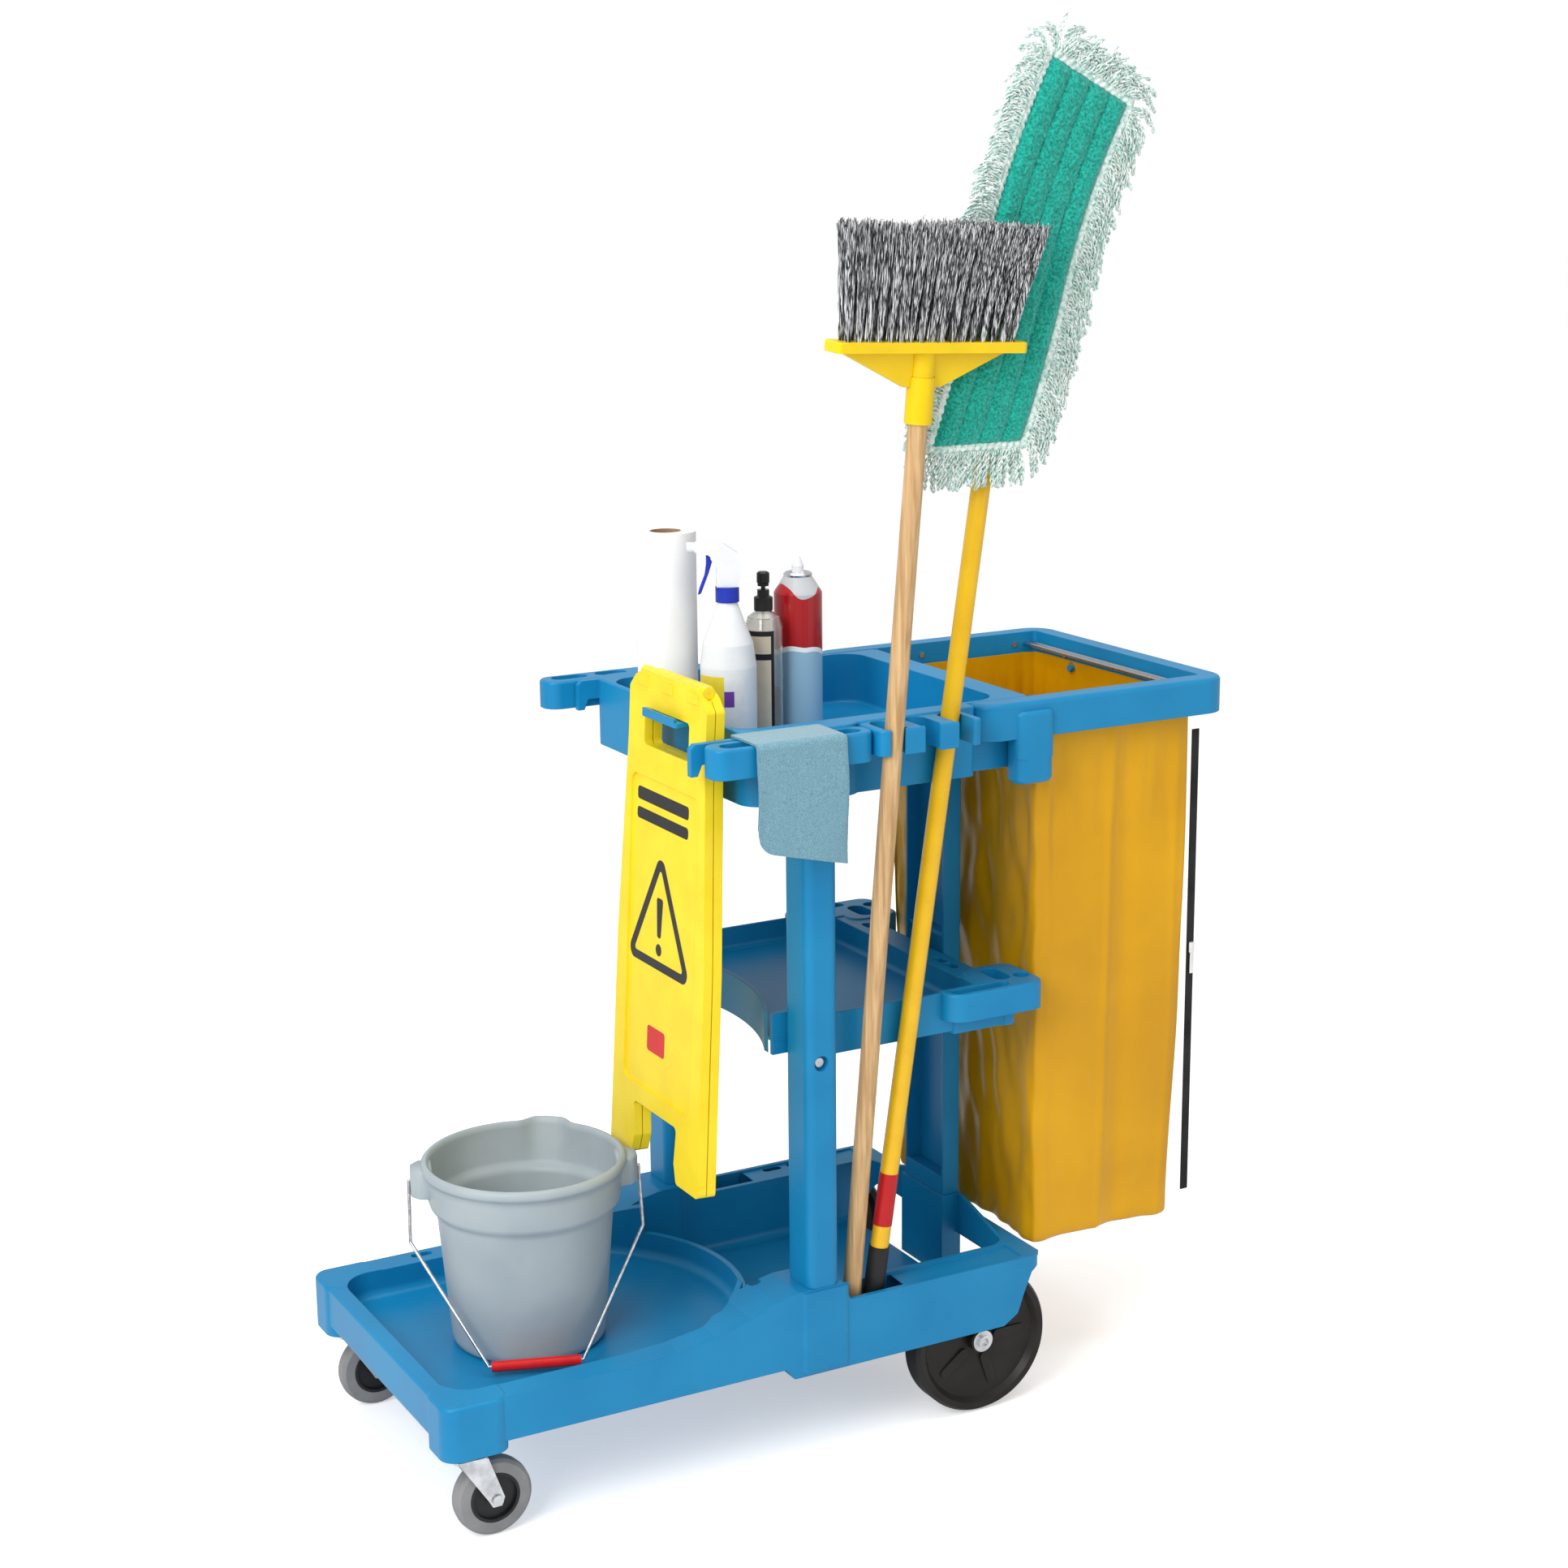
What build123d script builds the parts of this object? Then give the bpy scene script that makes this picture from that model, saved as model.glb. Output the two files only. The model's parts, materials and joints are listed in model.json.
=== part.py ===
# Loaded cleaning cart: wheeled plastic body, hung bag, bucket, folded floor sign,
# corn broom, dust mop and the stock in its top tray. Millimetres, +Z up.
# Sizes are laid out from the front edge of the deck (x), the middle plane of the
# body (y, near side negative) and the floor (z), then moved to the part's origin.
from build123d import *
from math import atan, cos, degrees, pi, sin
import os

# overall
length = 1168
body_width = 476
top_height = 975
wall = 4
seat_gap = 0.05        # clearance of every running fit, on the radius
touch_gap = 0.02       # gap between parts that rest on each other
origin_x = length / 2
origin_y = -32         # carried tools stand out past the near side

# lower body
deck_bottom = 134
deck_floor = 155
deck_rim = 192
bin_front = 505
bin_back = 871
bin_bottom = 118
bin_rim = 211
column_seat = 237
corner_block = 86

# uprights and post
column_front = 505
column_depth = 46
column_width = 62
column_top = 900
screw_z = 542          # where the middle shelf is screwed to the uprights
screw_radius = 2.5
post_front = 825
post_depth = 26
post_width = 100

# middle shelf
shelf_front = 490
shelf_back = 820
shelf_half = 207
shelf_floor = 562
shelf_rim = 595
shelf_bottom = 540
shelf_lobe_back = 871
shelf_sweep_x = 178    # centre of the curved front edge
shelf_sweep_radius = 346
tool_hole_radius = 11

# top tray
tray_front = 432
tray_back = 863
tray_half = 228
tray_clip_half = 219
tray_arm_half = 196
tray_floor = 905
tray_bottom = 884
hook_y = 216
near_hook_tip = 356
far_hook_tip = 404
plate_top = 982        # tongue the floor sign hangs on
plate_depth = 10
lobe_front = 366
lobe_back = 590
lobe_half = 268
lobe_bottom = 934
clip_radius = 14.8
clip_mouth = 11
clip_y = 235
clip_x = (615.2, 664.8, 714.5)
clip_half = 278

# bag frame
frame_front = 768
frame_half = 228
frame_bottom = 927
rail = 31
rod_radius = 3
rod_z = 958
rivet_x = (940, 1100)
rivet_y = 120

# wheels
caster_x = 69
caster_y = 206
caster_radius = 51
caster_width = 24
caster_offset = 38
caster_hub_radius = 33
stem_radius = 5.5
rear_wheel_x = 775
rear_wheel_radius = 101.6
rear_wheel_width = 40
rear_wheel_y = 212
axle_radius = 6

# bag
bag_front = 878
bag_back = 1134
bag_half = 192
bag_bottom = 192
bag_top = 948
bag_skin = 1.6
grommet_y = 95
zipper_width = 12

# bucket
bucket_x = 209
bucket_y = -10
bucket_base_radius = 100
bucket_rim_radius = 133
bucket_rim = 404
bucket_step = 340
bucket_skin = 3
bail_turn = -19.3      # the bail's pivot line, turned from +X
bail_reach = 149
bail_radius = 2.2
grip_radius = 7
grip_length = 114

# folded floor sign
sign_x = 402
sign_y = -95
sign_top = 1030
sign_height = 645
sign_top_width = 215
sign_foot_width = 255
sign_lean = 3.2
leaf_thickness = 12

# handles, each given by its foot and its slope per unit of height
handle_radius = 12.2
broom_foot = Vector(583, -206, 166)
broom_slope = Vector(0.0407, -0.0747, 1)
broom_length = 1240
head_gap = 0.1
mop_foot = Vector(612, -210, 168)
mop_slope = Vector(0.130, -0.0312, 1)
mop_length = 1385
mop_hub_x = 790
mop_hub_z = 1362
pivot_radius = 5
pad_back = -22
pad_low = 1150
pad_high = 1612
pad_drop = 58
pad_foot_left = 664
pad_foot_right = 795
pad_top_left = 823
pad_top_right = 937

# stock standing in the tray
towel_x, towel_y = 484, 97
towel_radius = 40
towel_core = 21
towel_height = 280
spray_x, spray_y, spray_turn = 530, 12, -25
trigger_pivot = (-23, 0, 39)
trigger_pin = 1.5
mist_x, mist_y = 598, 40
can_x, can_y = 662, 61


def block(x, y, z, radius=0.0):
    """Upright block between the given ranges, its upright edges rounded."""
    outline = Rectangle(x[1] - x[0], y[1] - y[0])
    if radius:
        outline = RectangleRounded(x[1] - x[0], y[1] - y[0], radius)
    middle = Pos((x[0] + x[1]) / 2, (y[0] + y[1]) / 2, z[0])
    return middle * extrude(outline, z[1] - z[0])


def soft_top(shape, radius):
    """Round the edges of the top face."""
    return fillet(shape.faces().sort_by(Axis.Z)[-1].edges(), radius)


def soft_foot(shape, radius):
    """Round the edges of the bottom face."""
    return fillet(shape.faces().sort_by(Axis.Z)[0].edges(), radius)


def pin(x, y, z, radius, height):
    """Upright round bar standing on (x, y, z)."""
    return Pos(x, y, z) * Cylinder(radius, height, align=(Align.CENTER, Align.CENTER, Align.MIN))


def cross_pin(x, y, z, radius, reach):
    """Round bar along Y, centred on (x, y, z)."""
    return Pos(x, y, z) * Rot(90, 0, 0) * Cylinder(radius, reach)


def side_plate(points, y0, y1, soft=0.0):
    """Plate with the given (x, z) outline, from y0 to y1, its corners rounded."""
    outline = make_face(Polyline(*points, close=True))
    if soft:
        outline = fillet(outline.vertices(), soft)
    return Pos(0, y1, 0) * extrude(Plane.XZ * outline, y1 - y0, dir=(0, -1, 0))


def slot_hole(x, y, z, long, radius, height, turn=0):
    """Long round-ended cutter."""
    return Pos(x, y, z) * Rot(0, 0, turn) * extrude(SlotOverall(long, 2 * radius), height)


def both_sides(shape):
    return shape + mirror(shape, Plane.XZ)


def platform_hull():
    """Outer shape of the moulded base, with its corner blocks and column seats."""
    half = body_width / 2
    outline = [
        (0, deck_bottom), (470, deck_bottom), (482, bin_bottom), (806, bin_bottom),
        (828, 132), (838, 160), (850, 188), (bin_back, 198), (bin_back, bin_rim),
        (566, bin_rim), (558, column_seat), (490, column_seat),
        (458, 231), (420, 216), (370, 203), (315, 195), (257, deck_rim), (0, deck_rim),
    ]
    hull = side_plate(outline, -half, half, 5)
    hull = hull & block((0, bin_back), (-half, half), (100, 260), 24)
    corner = block((-3, corner_block), (-half - 4, -half + 70), (122, deck_rim + 1), 22)
    seat = block((column_front - 13, 566), (-half - 3, -half + 62), (bin_bottom, column_seat - 3), 10)
    return hull + both_sides(soft_top(corner, 5)) + both_sides(soft_foot(seat, 8))


def platform_tops():
    """Room above the deck and inside the bin behind it."""
    bin_floor = bin_bottom + wall
    deck = soft_foot(block((22, 400), (-200, 200), (deck_floor, 300), 42), 12)
    bulge = soft_foot(pin(272, 0, deck_floor, 228, 100), 12)
    bulge = bulge & block((300, 520), (-186, 186), (deck_floor, 300))
    bin_room = soft_foot(block((bin_front + 14, 846), (-181, 181), (bin_floor, 300), 26), 12)
    front_bin = block((440, 560), (-164, 164), (bin_floor, 300)) - pin(272, 0, 0, 236, 400)
    saddle = side_plate([(452, 190), (452, 260), (580, 260), (580, 190)], -162, 162)
    ledge = [(560, 150), (648, 150), (668, 204), (838, 209), (838, 260), (560, 260)]
    pocket = side_plate(ledge, -231, -189)
    pocket = pocket - block((655, 900), (-260, -160), (0, bin_rim - 3))
    return deck + bulge + bin_room + front_bin + saddle + both_sides(pocket)


def platform_undersides():
    """Hollows moulded up into the base from below, which leave its walls thin."""
    half = body_width / 2
    well = block((650, 900), (-half + 5, -182), (0, 206.2))
    bin_side = block((500, 640), (-half + 5, -196), (0, 145), 4)
    deck_side = block((110, 440), (-half + 5, -206), (0, 182), 4)
    under_deck = block((corner_block + 8, 462), (-half + 5, half - 5), (0, deck_floor - wall), 6)
    under_front = block((8, corner_block + 8), (-half + 80, half - 80), (0, deck_floor - wall))
    rear_lip = block((852, bin_back - 5), (-170, 170), (0, bin_rim - 5))
    return both_sides(well + bin_side + deck_side) + under_deck + under_front + rear_lip


def base_platform():
    half = body_width / 2
    hull = platform_hull() - platform_tops() - platform_undersides()
    lug_half = post_width / 2 + 4
    lug = block((post_front - 4, 852), (-lug_half, lug_half), (bin_bottom, column_seat))
    crest = make_face(Polyline(
        (-176, bin_rim - 5), (-62, column_seat), (62, column_seat), (176, bin_rim - 5), close=True))
    hull = hull + lug + Pos(846, 0, 0) * extrude(Plane.YZ * crest, 6, dir=(1, 0, 0))
    wheel_lug = block((rear_wheel_x - 16, rear_wheel_x + 16), (-182, -170), (86, bin_bottom + 2))
    hull = hull + both_sides(wheel_lug)
    hull = hull - cross_pin(rear_wheel_x, 0, rear_wheel_radius, axle_radius + touch_gap, 500)
    for x in (150, 210, 700, 740):
        hull = hull - slot_hole(x, half - 15, 185, 30, 6, 60)
    hull = hull - pin(462, -168, 170, 8, 90)
    for side in (-1, 1):
        stem_x = caster_x - caster_offset + 6
        hull = hull - pin(stem_x, side * caster_y, 110, stem_radius + seat_gap, 52)
        plug_y = side * (half - column_width / 2)
        plug_x = (column_front + 6, column_front + column_depth - 6)
        hull = hull + block(plug_x, (plug_y - 24, plug_y + 24), (column_seat - 8, column_seat + 30))
    post_plug_x = (post_front + wall + 1, post_front + post_depth - 1)
    return hull + block(post_plug_x, (-44, 44), (200, column_seat + 24))


def upright(side):
    half = body_width / 2
    middle = side * (half - column_width / 2)
    y = (middle - column_width / 2, middle + column_width / 2)
    x = (column_front, column_front + column_depth)
    outer = block(x, y, (column_seat + touch_gap, column_top), 12)
    bore = block((x[0] + wall, x[1] - wall), (y[0] + wall, y[1] - wall), (column_seat, column_top), 8)
    web = block((x[0] + 1, x[1] - 1), (y[0] + 1, y[1] - 1), (screw_z - 14, screw_z + 14), 11)
    recess = cross_pin(column_front + 20, side * half, screw_z, 10, 18)
    screw = cross_pin(column_front + 20, side * (half - 16), screw_z, screw_radius, 34)
    return outer - bore + web - recess - screw


def upright_screws():
    screws = []
    for side in (-1, 1):
        y = side * body_width / 2
        head = cross_pin(column_front + 20, y - side * 7.4, screw_z, 6, 3)
        shank = cross_pin(column_front + 20, y - side * 15, screw_z, screw_radius - touch_gap, 14)
        screws.append(head + shank)
    return Compound(screws)


def rear_post():
    back = post_front + post_depth
    half = post_width / 2
    post = block((post_front, back), (-half, half), (column_seat + touch_gap, column_top))
    channel_z = (column_seat + 26, column_top + 1)
    channel = block((post_front - 1, back - wall), (-half + wall, half - wall), channel_z)
    foot_z = (column_seat - 1, column_seat + 24.5)
    foot = block((post_front + wall + 0.5, back - 0.5), (-45, 45), foot_z)
    ledge = block((post_front + 3, back - wall), (-half + wall, half - wall), (612, 618))
    return post - channel - foot + ledge


def shelf_lobe():
    """Near-side lobe at the rear corner of the middle shelf, with its holes."""
    half = shelf_half
    z = (shelf_rim - 36, shelf_rim + 2)
    lobe = soft_top(block((722, shelf_lobe_back), (-half - 28, -half + 42), z, 26), 4)
    lobe = lobe + soft_top(block((shelf_back - 30, shelf_lobe_back), (-half - 28, -half + 70), z, 22), 4)
    lobe = lobe + block((740, 838), (-half - 6, -half + 20), (shelf_bottom - 4, z[0]), 10)
    return lobe - block((700, shelf_back - 42), (-half + 5, 0), (500, 700))


def mid_shelf():
    half = shelf_half
    z = (shelf_bottom, shelf_rim)
    column_back = column_front + column_depth + 0.4
    outer = block((shelf_front, shelf_back), (-half, half), z, 14)
    basin = block((shelf_front - 20, shelf_back - 42), (-half + 5, half - 5), (shelf_floor, 700), 12)
    under = block((shelf_front - 20, shelf_back - 5), (-half + 5, half - 5), (500, shelf_floor - wall), 8)
    shelf = soft_top(outer, 1.5) - soft_foot(basin, 8) - under
    sweep = pin(shelf_sweep_x, 0, 400, shelf_sweep_radius, 400)
    apron = outer & pin(shelf_sweep_x, 0, 400, shelf_sweep_radius + 5, 400)
    shelf = shelf + apron - sweep
    shelf = shelf - both_sides(block((400, column_back), (-300, -half + 34.6), (400, 800)))
    cheek = block((shelf_front, column_back + 5.6), (-half + 35, -half + 41), z)
    cheek = cheek + block((column_back, column_back + 5.6), (-half, -half + 40), z)
    shelf = shelf + both_sides(cheek - sweep) + both_sides(shelf_lobe())
    holes = slot_hole(776, -half - 11, 500, 88, 9, 200)
    holes = holes + slot_hole(826, -half + 30, 500, 52, 13, 200, 90)
    holes = holes + pin(854, -half + 10, 500, tool_hole_radius, 200)
    shelf = shelf - both_sides(holes)
    for y in (-110, -80, 80, 110):
        shelf = shelf - slot_hole(shelf_back - 20, y, 500, 26, 7, 200, 90)
    return shelf


def hook(tip, y):
    """Down-turned hook standing forward from the front of the tray."""
    high = top_height - 3
    points = [(tray_front + 30, high - 26), (tray_front + 30, high), (tip + 6, high), (tip, high - 6),
              (tip, high - 40), (tip + 9, high - 40), (tip + 15, high - 26)]
    return side_plate(points, y - 5, y + 5)


def tool_lobe():
    """Near-side lobe of the tray, pierced by three long holes."""
    y = (-lobe_half, -tray_half + 5)
    lobe = soft_top(block((lobe_front, lobe_back), y, (lobe_bottom, top_height - 3), 19), 4)
    for x, long in ((408, 52), (470, 46), (548, 56)):
        lobe = lobe - slot_hole(x, -lobe_half + 20, 900, long, 12, 200)
    return lobe


def clip_bank():
    """Near-side row of open clips that hold the tool handles."""
    x_range = (clip_x[0] - 25, clip_x[2] + 26)
    y_range = (-clip_half, -tray_clip_half + 4)
    bank = soft_top(block(x_range, y_range, (940, top_height - 2), 12), 3)
    for x in clip_x:
        bank = bank - pin(x, -clip_y, 900, clip_radius, 200)
        bank = bank - block((x - clip_radius, x + clip_radius), (-clip_half + 4, -clip_y), (900, 1100))
        bank = bank - block((x - clip_mouth, x + clip_mouth), (-clip_half - 8, -clip_half + 5), (900, 1100))
    return bank


def sign_tongue():
    """Tongue standing forward from the tray, with the raised lip a floor sign hangs on."""
    front = sign_x - 28
    low = plate_top - plate_depth
    plate = block((front, tray_front + 5), (sign_y - 48, sign_y + 48), (low, plate_top), 4)
    lip = block((front, front + 4), (sign_y - 44, sign_y + 44), (low, plate_top + 5))
    room = block((front - 1, sign_x + 16), (sign_y - 60, sign_y + 60), (low - 1, plate_top - 6))
    rib = [(sign_x + 16, low), (tray_front + 2, low), (tray_front + 2, low - 26)]
    return plate + lip - room + side_plate(rib, sign_y - 5, sign_y + 5)


def column_sleeve():
    """Near-side collar under the tray and the socket cut into it for an upright."""
    y = (-body_width / 2, -body_width / 2 + column_width)
    z = (column_top - 16, column_top + 5)
    sleeve = block((column_front - 4, column_front + column_depth + 4), y, z, 12)
    socket_x = (column_front - touch_gap, column_front + column_depth + touch_gap)
    socket = block(socket_x, (y[0] - touch_gap, y[1] + touch_gap), (800, column_top + touch_gap), 12)
    return sleeve & block((0, 900), (-tray_half, tray_half), (800, 1000)), socket


def top_tray():
    depth = (tray_bottom, top_height)
    body = soft_top(block((tray_front, lobe_back + 8), (-tray_half, tray_half), depth, 30), 3)
    middle = block((lobe_back - 40, frame_front - 0.4), (-tray_clip_half, tray_clip_half), depth, 12)
    arm = block((frame_front - 40, tray_back), (-tray_arm_half, tray_arm_half), depth, 10)
    body = body + soft_top(middle, 3) + soft_top(arm, 3)
    basin = soft_foot(block((tray_front + 6, 822), (-188, 188), (tray_floor, 1100), 34), 5)
    under = block((tray_front + 5, tray_back - 5), (-184, 184), (800, tray_floor - wall), 26)
    side_y = (-tray_clip_half + 5, -192)
    side_room = block((tray_front + 20, frame_front - 20), side_y, (800, top_height - 8), 4)
    column_x = (column_front - 8, column_front + column_depth + 8)
    side_room = side_room - block(column_x, (-300, -100), (800, 1000))
    tray = body - basin - under - both_sides(side_room)
    tray = tray + both_sides(tool_lobe()) + both_sides(clip_bank())
    tray = tray + hook(near_hook_tip, -hook_y) + hook(far_hook_tip, hook_y) + sign_tongue()
    sleeve, socket = column_sleeve()
    tray = tray + both_sides(sleeve) - both_sides(socket)
    for y in (-grommet_y, grommet_y):
        tray = tray + Pos(tray_back + 10, y, bag_top - 12) * Rot(0, 90, 0) * Cylinder(5, 24)
    post_pad = block((post_front - 5, tray_back - 5), (-55, 55), (column_top + touch_gap, tray_floor + 1))
    return tray + post_pad


def bag_frame():
    half = frame_half
    inner_half = half - rail
    open_front = tray_back + 0.3
    ring = soft_top(block((frame_front, length), (-half, half), (frame_bottom, top_height), 38), 6)
    ring = ring - block((open_front, length - rail), (-inner_half, inner_half), (900, 1000), 6)
    ring = ring - block((700, open_front), (-inner_half, inner_half), (900, 1000))
    hollow = block((frame_front + 6, length - 5), (-half + 5, half - 5), (900, top_height - 5), 34)
    core = block((frame_front - 10, length - rail + 4), (-inner_half - 4, inner_half + 4), (800, 1000), 14)
    ring = ring - (hollow - core)
    boss_x = (822, 880)
    boss = soft_foot(block(boss_x, (-half - 8, -inner_half), (866, frame_bottom + 20), 16), 8)
    boss = boss + soft_top(block(boss_x, (-half - 8, -half + 20), (900, top_height - 12), 13), 6)
    boss = boss - block((0, tray_back + 1), (-inner_half, 0), (0, 1100))
    ring = ring + both_sides(boss)
    for x in rivet_x:
        ring = ring - both_sides(cross_pin(x, -inner_half, rod_z, 2.5, 12))
    for y in (-rivet_y, rivet_y):
        ring = ring - Pos(length - rail, y, rod_z - 8) * Rot(0, 90, 0) * Cylinder(2.5, 12)
    for y in (-grommet_y, grommet_y):
        ring = ring + Pos(length - rail - 4, y, bag_top - 12) * Rot(0, 90, 0) * Cylinder(5, 12)
    return ring


def bag_rods():
    """Two steel rods inside the frame's rear bar that the bag's top hem runs over."""
    reach = 2 * (frame_half - rail - 0.4)
    return Compound([cross_pin(length - rail - back, 0, rod_z, rod_radius, reach) for back in (9, 19)])


def frame_screws():
    screws = []
    for x in rivet_x:
        for side in (-1, 1):
            y = side * (frame_half - rail - 1)
            screws.append(cross_pin(x, y, rod_z, 4, 2 - touch_gap))
    for y in (-rivet_y, rivet_y):
        screws.append(Pos(length - rail - 1, y, rod_z - 8) * Rot(0, 90, 0) * Cylinder(4, 2 - touch_gap))
    return Compound(screws)


def bag():
    skin = bag_skin
    outer = block((bag_front, bag_back), (-bag_half, bag_half), (bag_bottom, bag_top), 22)
    inner_y = (-bag_half + skin, bag_half - skin)
    inner = block((bag_front + skin, bag_back - skin), inner_y, (bag_bottom + skin, 1200), 22 - skin)
    sack = outer - inner
    for y in (-grommet_y, grommet_y):
        for x in (bag_front, bag_back):
            sack = sack - Pos(x, y, bag_top - 12) * Rot(0, 90, 0) * Cylinder(9, 12)
    return sack


def bag_grommets():
    rings = []
    for y in (-grommet_y, grommet_y):
        for x, out in ((bag_front, 1), (bag_back, -1)):
            middle = Pos(x + out * bag_skin / 2, y, bag_top - 12) * Rot(0, 90, 0)
            rings.append(middle * (Cylinder(8.9, 3) - Cylinder(6.5, 4)))
    return Compound(rings)


def zipper_tape():
    """Zipped seam standing out from the rear corner of the bag on the near side."""
    seam_y = (-bag_half + 3, -bag_half + 4.6)
    return block((bag_back + 0.4, bag_back + zipper_width), seam_y, (bag_bottom + 40, bag_top - 50))


def zipper_slider():
    x = bag_back + zipper_width - 5
    y = -bag_half + 2.9
    body = block((x - 4, x + 4), (y - 4.5, y), (582, 596), 2)
    pull = block((x - 3, x + 3), (y - 4, y - 2), (552, 584), 0.9)
    return body + pull


def caster_fork(side):
    stem_x = caster_x - caster_offset + 6
    y = side * caster_y
    top = 118
    stem = pin(stem_x, y, top - 4, stem_radius, 44)
    collar = pin(stem_x, y, top - 7, 17, 7)
    fork = stem + collar
    crown = block((stem_x - 20, stem_x + 24), (y - 19, y + 19), (top - 10, top - 7 + 0.5), 8)
    fork = fork + crown
    for cheek in (-1, 1):
        points = [(stem_x - 17, top - 8), (stem_x + 22, top - 8), (caster_x + 10, caster_radius + 2),
                  (caster_x + 6, caster_radius - 9), (caster_x - 6, caster_radius - 9),
                  (caster_x - 11, caster_radius)]
        inner = y + cheek * 16
        outer = y + cheek * 18.5
        fork = fork + side_plate(points, min(inner, outer), max(inner, outer))
    return fork - cross_pin(caster_x, y, caster_radius, 4 + touch_gap, 60)


def caster_axle(side):
    y = side * caster_y
    axle = cross_pin(caster_x, y, caster_radius, 4, 43)
    for out in (-20.5, 20.5):
        axle = axle + cross_pin(caster_x, y + out, caster_radius, 7, 3)
    return axle


def caster_hub(side):
    y = side * caster_y
    hub = cross_pin(caster_x, y, caster_radius, caster_hub_radius, caster_width)
    for face in (-1, 1):
        face_y = y + face * caster_width / 2
        ring = cross_pin(caster_x, face_y, caster_radius, caster_hub_radius - 4, 10)
        hub = hub - (ring - cross_pin(caster_x, face_y, caster_radius, 11, 14))
    hub = hub + cross_pin(caster_x, y, caster_radius, 10, 31)
    return hub - cross_pin(caster_x, y, caster_radius, 4 + seat_gap, 60)


def caster_tyre(side):
    y = side * caster_y
    half = caster_width / 2
    section = Plane.XZ * Polyline(
        (caster_hub_radius, -half), (caster_radius - 5, -half), (caster_radius - 1, -half + 4),
        (caster_radius, 0), (caster_radius - 1, half - 4), (caster_radius - 5, half),
        (caster_hub_radius, half), close=True)
    tyre = revolve(make_face(section), Axis.Z)
    return Pos(caster_x, y, caster_radius) * Rot(90, 0, 0) * tyre


def rear_wheel(side):
    half = rear_wheel_width / 2
    radius = rear_wheel_radius
    section = Plane.XZ * Polyline(
        (axle_radius + seat_gap, -half), (17, -half), (17, -half + 12), (radius - 18, -half + 9),
        (radius - 12, -half + 1), (radius - 4, -half), (radius, -half + 6), (radius, half - 6),
        (radius - 4, half), (radius - 12, half - 1), (radius - 18, half - 9), (17, half - 12),
        (17, half), (axle_radius + seat_gap, half), close=True)
    wheel = revolve(make_face(section), Axis.Z)
    for turn in range(5):
        spoke = Rot(0, 0, 72 * turn) * Pos(48, 0, half - 12) * extrude(SlotOverall(50, 14), 4)
        wheel = wheel + spoke
    wheel = Rot(90, 0, 0) * wheel
    if side > 0:
        wheel = mirror(wheel, Plane.XZ)
    return Pos(rear_wheel_x, side * rear_wheel_y, radius) * wheel


def rear_axle():
    reach = 2 * (rear_wheel_y + rear_wheel_width / 2) + 5
    axle = cross_pin(rear_wheel_x, 0, rear_wheel_radius, axle_radius, reach)
    for side in (-1, 1):
        collar_y = side * (rear_wheel_y - rear_wheel_width / 2 - 4)
        axle = axle + cross_pin(rear_wheel_x, collar_y, rear_wheel_radius, 11, 7)
    return axle


def axle_caps():
    caps = []
    for side in (-1, 1):
        face = rear_wheel_y + rear_wheel_width / 2 + 0.4
        washer = cross_pin(rear_wheel_x, side * (face + 0.75), rear_wheel_radius, 15, 1.5)
        dome = cross_pin(rear_wheel_x, side * (face + 3.6), rear_wheel_radius, 9, 4.6)
        cap = washer + dome
        caps.append(cap - cross_pin(rear_wheel_x, 0, rear_wheel_radius, axle_radius + 0.01, 500))
    return Compound([cap.solids()[0] for cap in caps])


def bucket_wall(offset, bottom, top):
    """Half section of the bucket's outside, moved in by the offset."""
    base = bucket_base_radius - offset
    step = base + (bucket_step - deck_floor) * 0.085
    rim = bucket_rim_radius - 4 - offset
    return [(0, bottom), (base, bottom), (step, bucket_step), (step + 9, bucket_step + 5),
            (rim, top), (0, top)]


def bucket():
    bottom = deck_floor + touch_gap
    outer = revolve(make_face(Plane.XZ * Polyline(*bucket_wall(0, bottom, bucket_rim), close=True)), Axis.Z)
    inner_points = bucket_wall(bucket_skin, bottom + bucket_skin, bucket_rim + 20)
    inner = revolve(make_face(Plane.XZ * Polyline(*inner_points, close=True)), Axis.Z)
    lip = Pos(0, 0, bucket_rim - 5) * (Cylinder(bucket_rim_radius, 6) - Cylinder(bucket_rim_radius - 8, 8))
    spout = Pos(bucket_rim_radius - 14, 0, bucket_rim - 36) * extrude(RegularPolygon(30, 3), 36)
    spout_room = Pos(bucket_rim_radius - 15, 0, bucket_rim - 33) * extrude(RegularPolygon(26, 3), 50)
    pail = outer + lip + Rot(0, 0, 72) * spout - inner - Rot(0, 0, 72) * spout_room
    ear = block((118, 146), (-26, 26), (bucket_rim - 46, bucket_rim - 4), 4) - pin(0, 0, 0, 122, 900)
    pail = pail + ear + mirror(ear, Plane.YZ)
    bail_hole = Cylinder(bail_radius + seat_gap, 320) - Cylinder(10, 230)
    pail = pail - inner - Pos(0, 0, bucket_rim - 24) * Rot(0, 90, 0) * bail_hole
    return Pos(bucket_x, bucket_y, 0) * Rot(0, 0, bail_turn) * pail


def bail_path():
    """Middle line of the hanging bail, from one ear to the other."""
    z = bucket_rim - 24
    return [(-138, 0, z), (-bail_reach, 0, z), (-bail_reach - 1.5, -26, z - 74), (-60, -122, z - 211),
            (60, -122, z - 211), (bail_reach + 1.5, -26, z - 74), (bail_reach, 0, z), (138, 0, z)]


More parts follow.
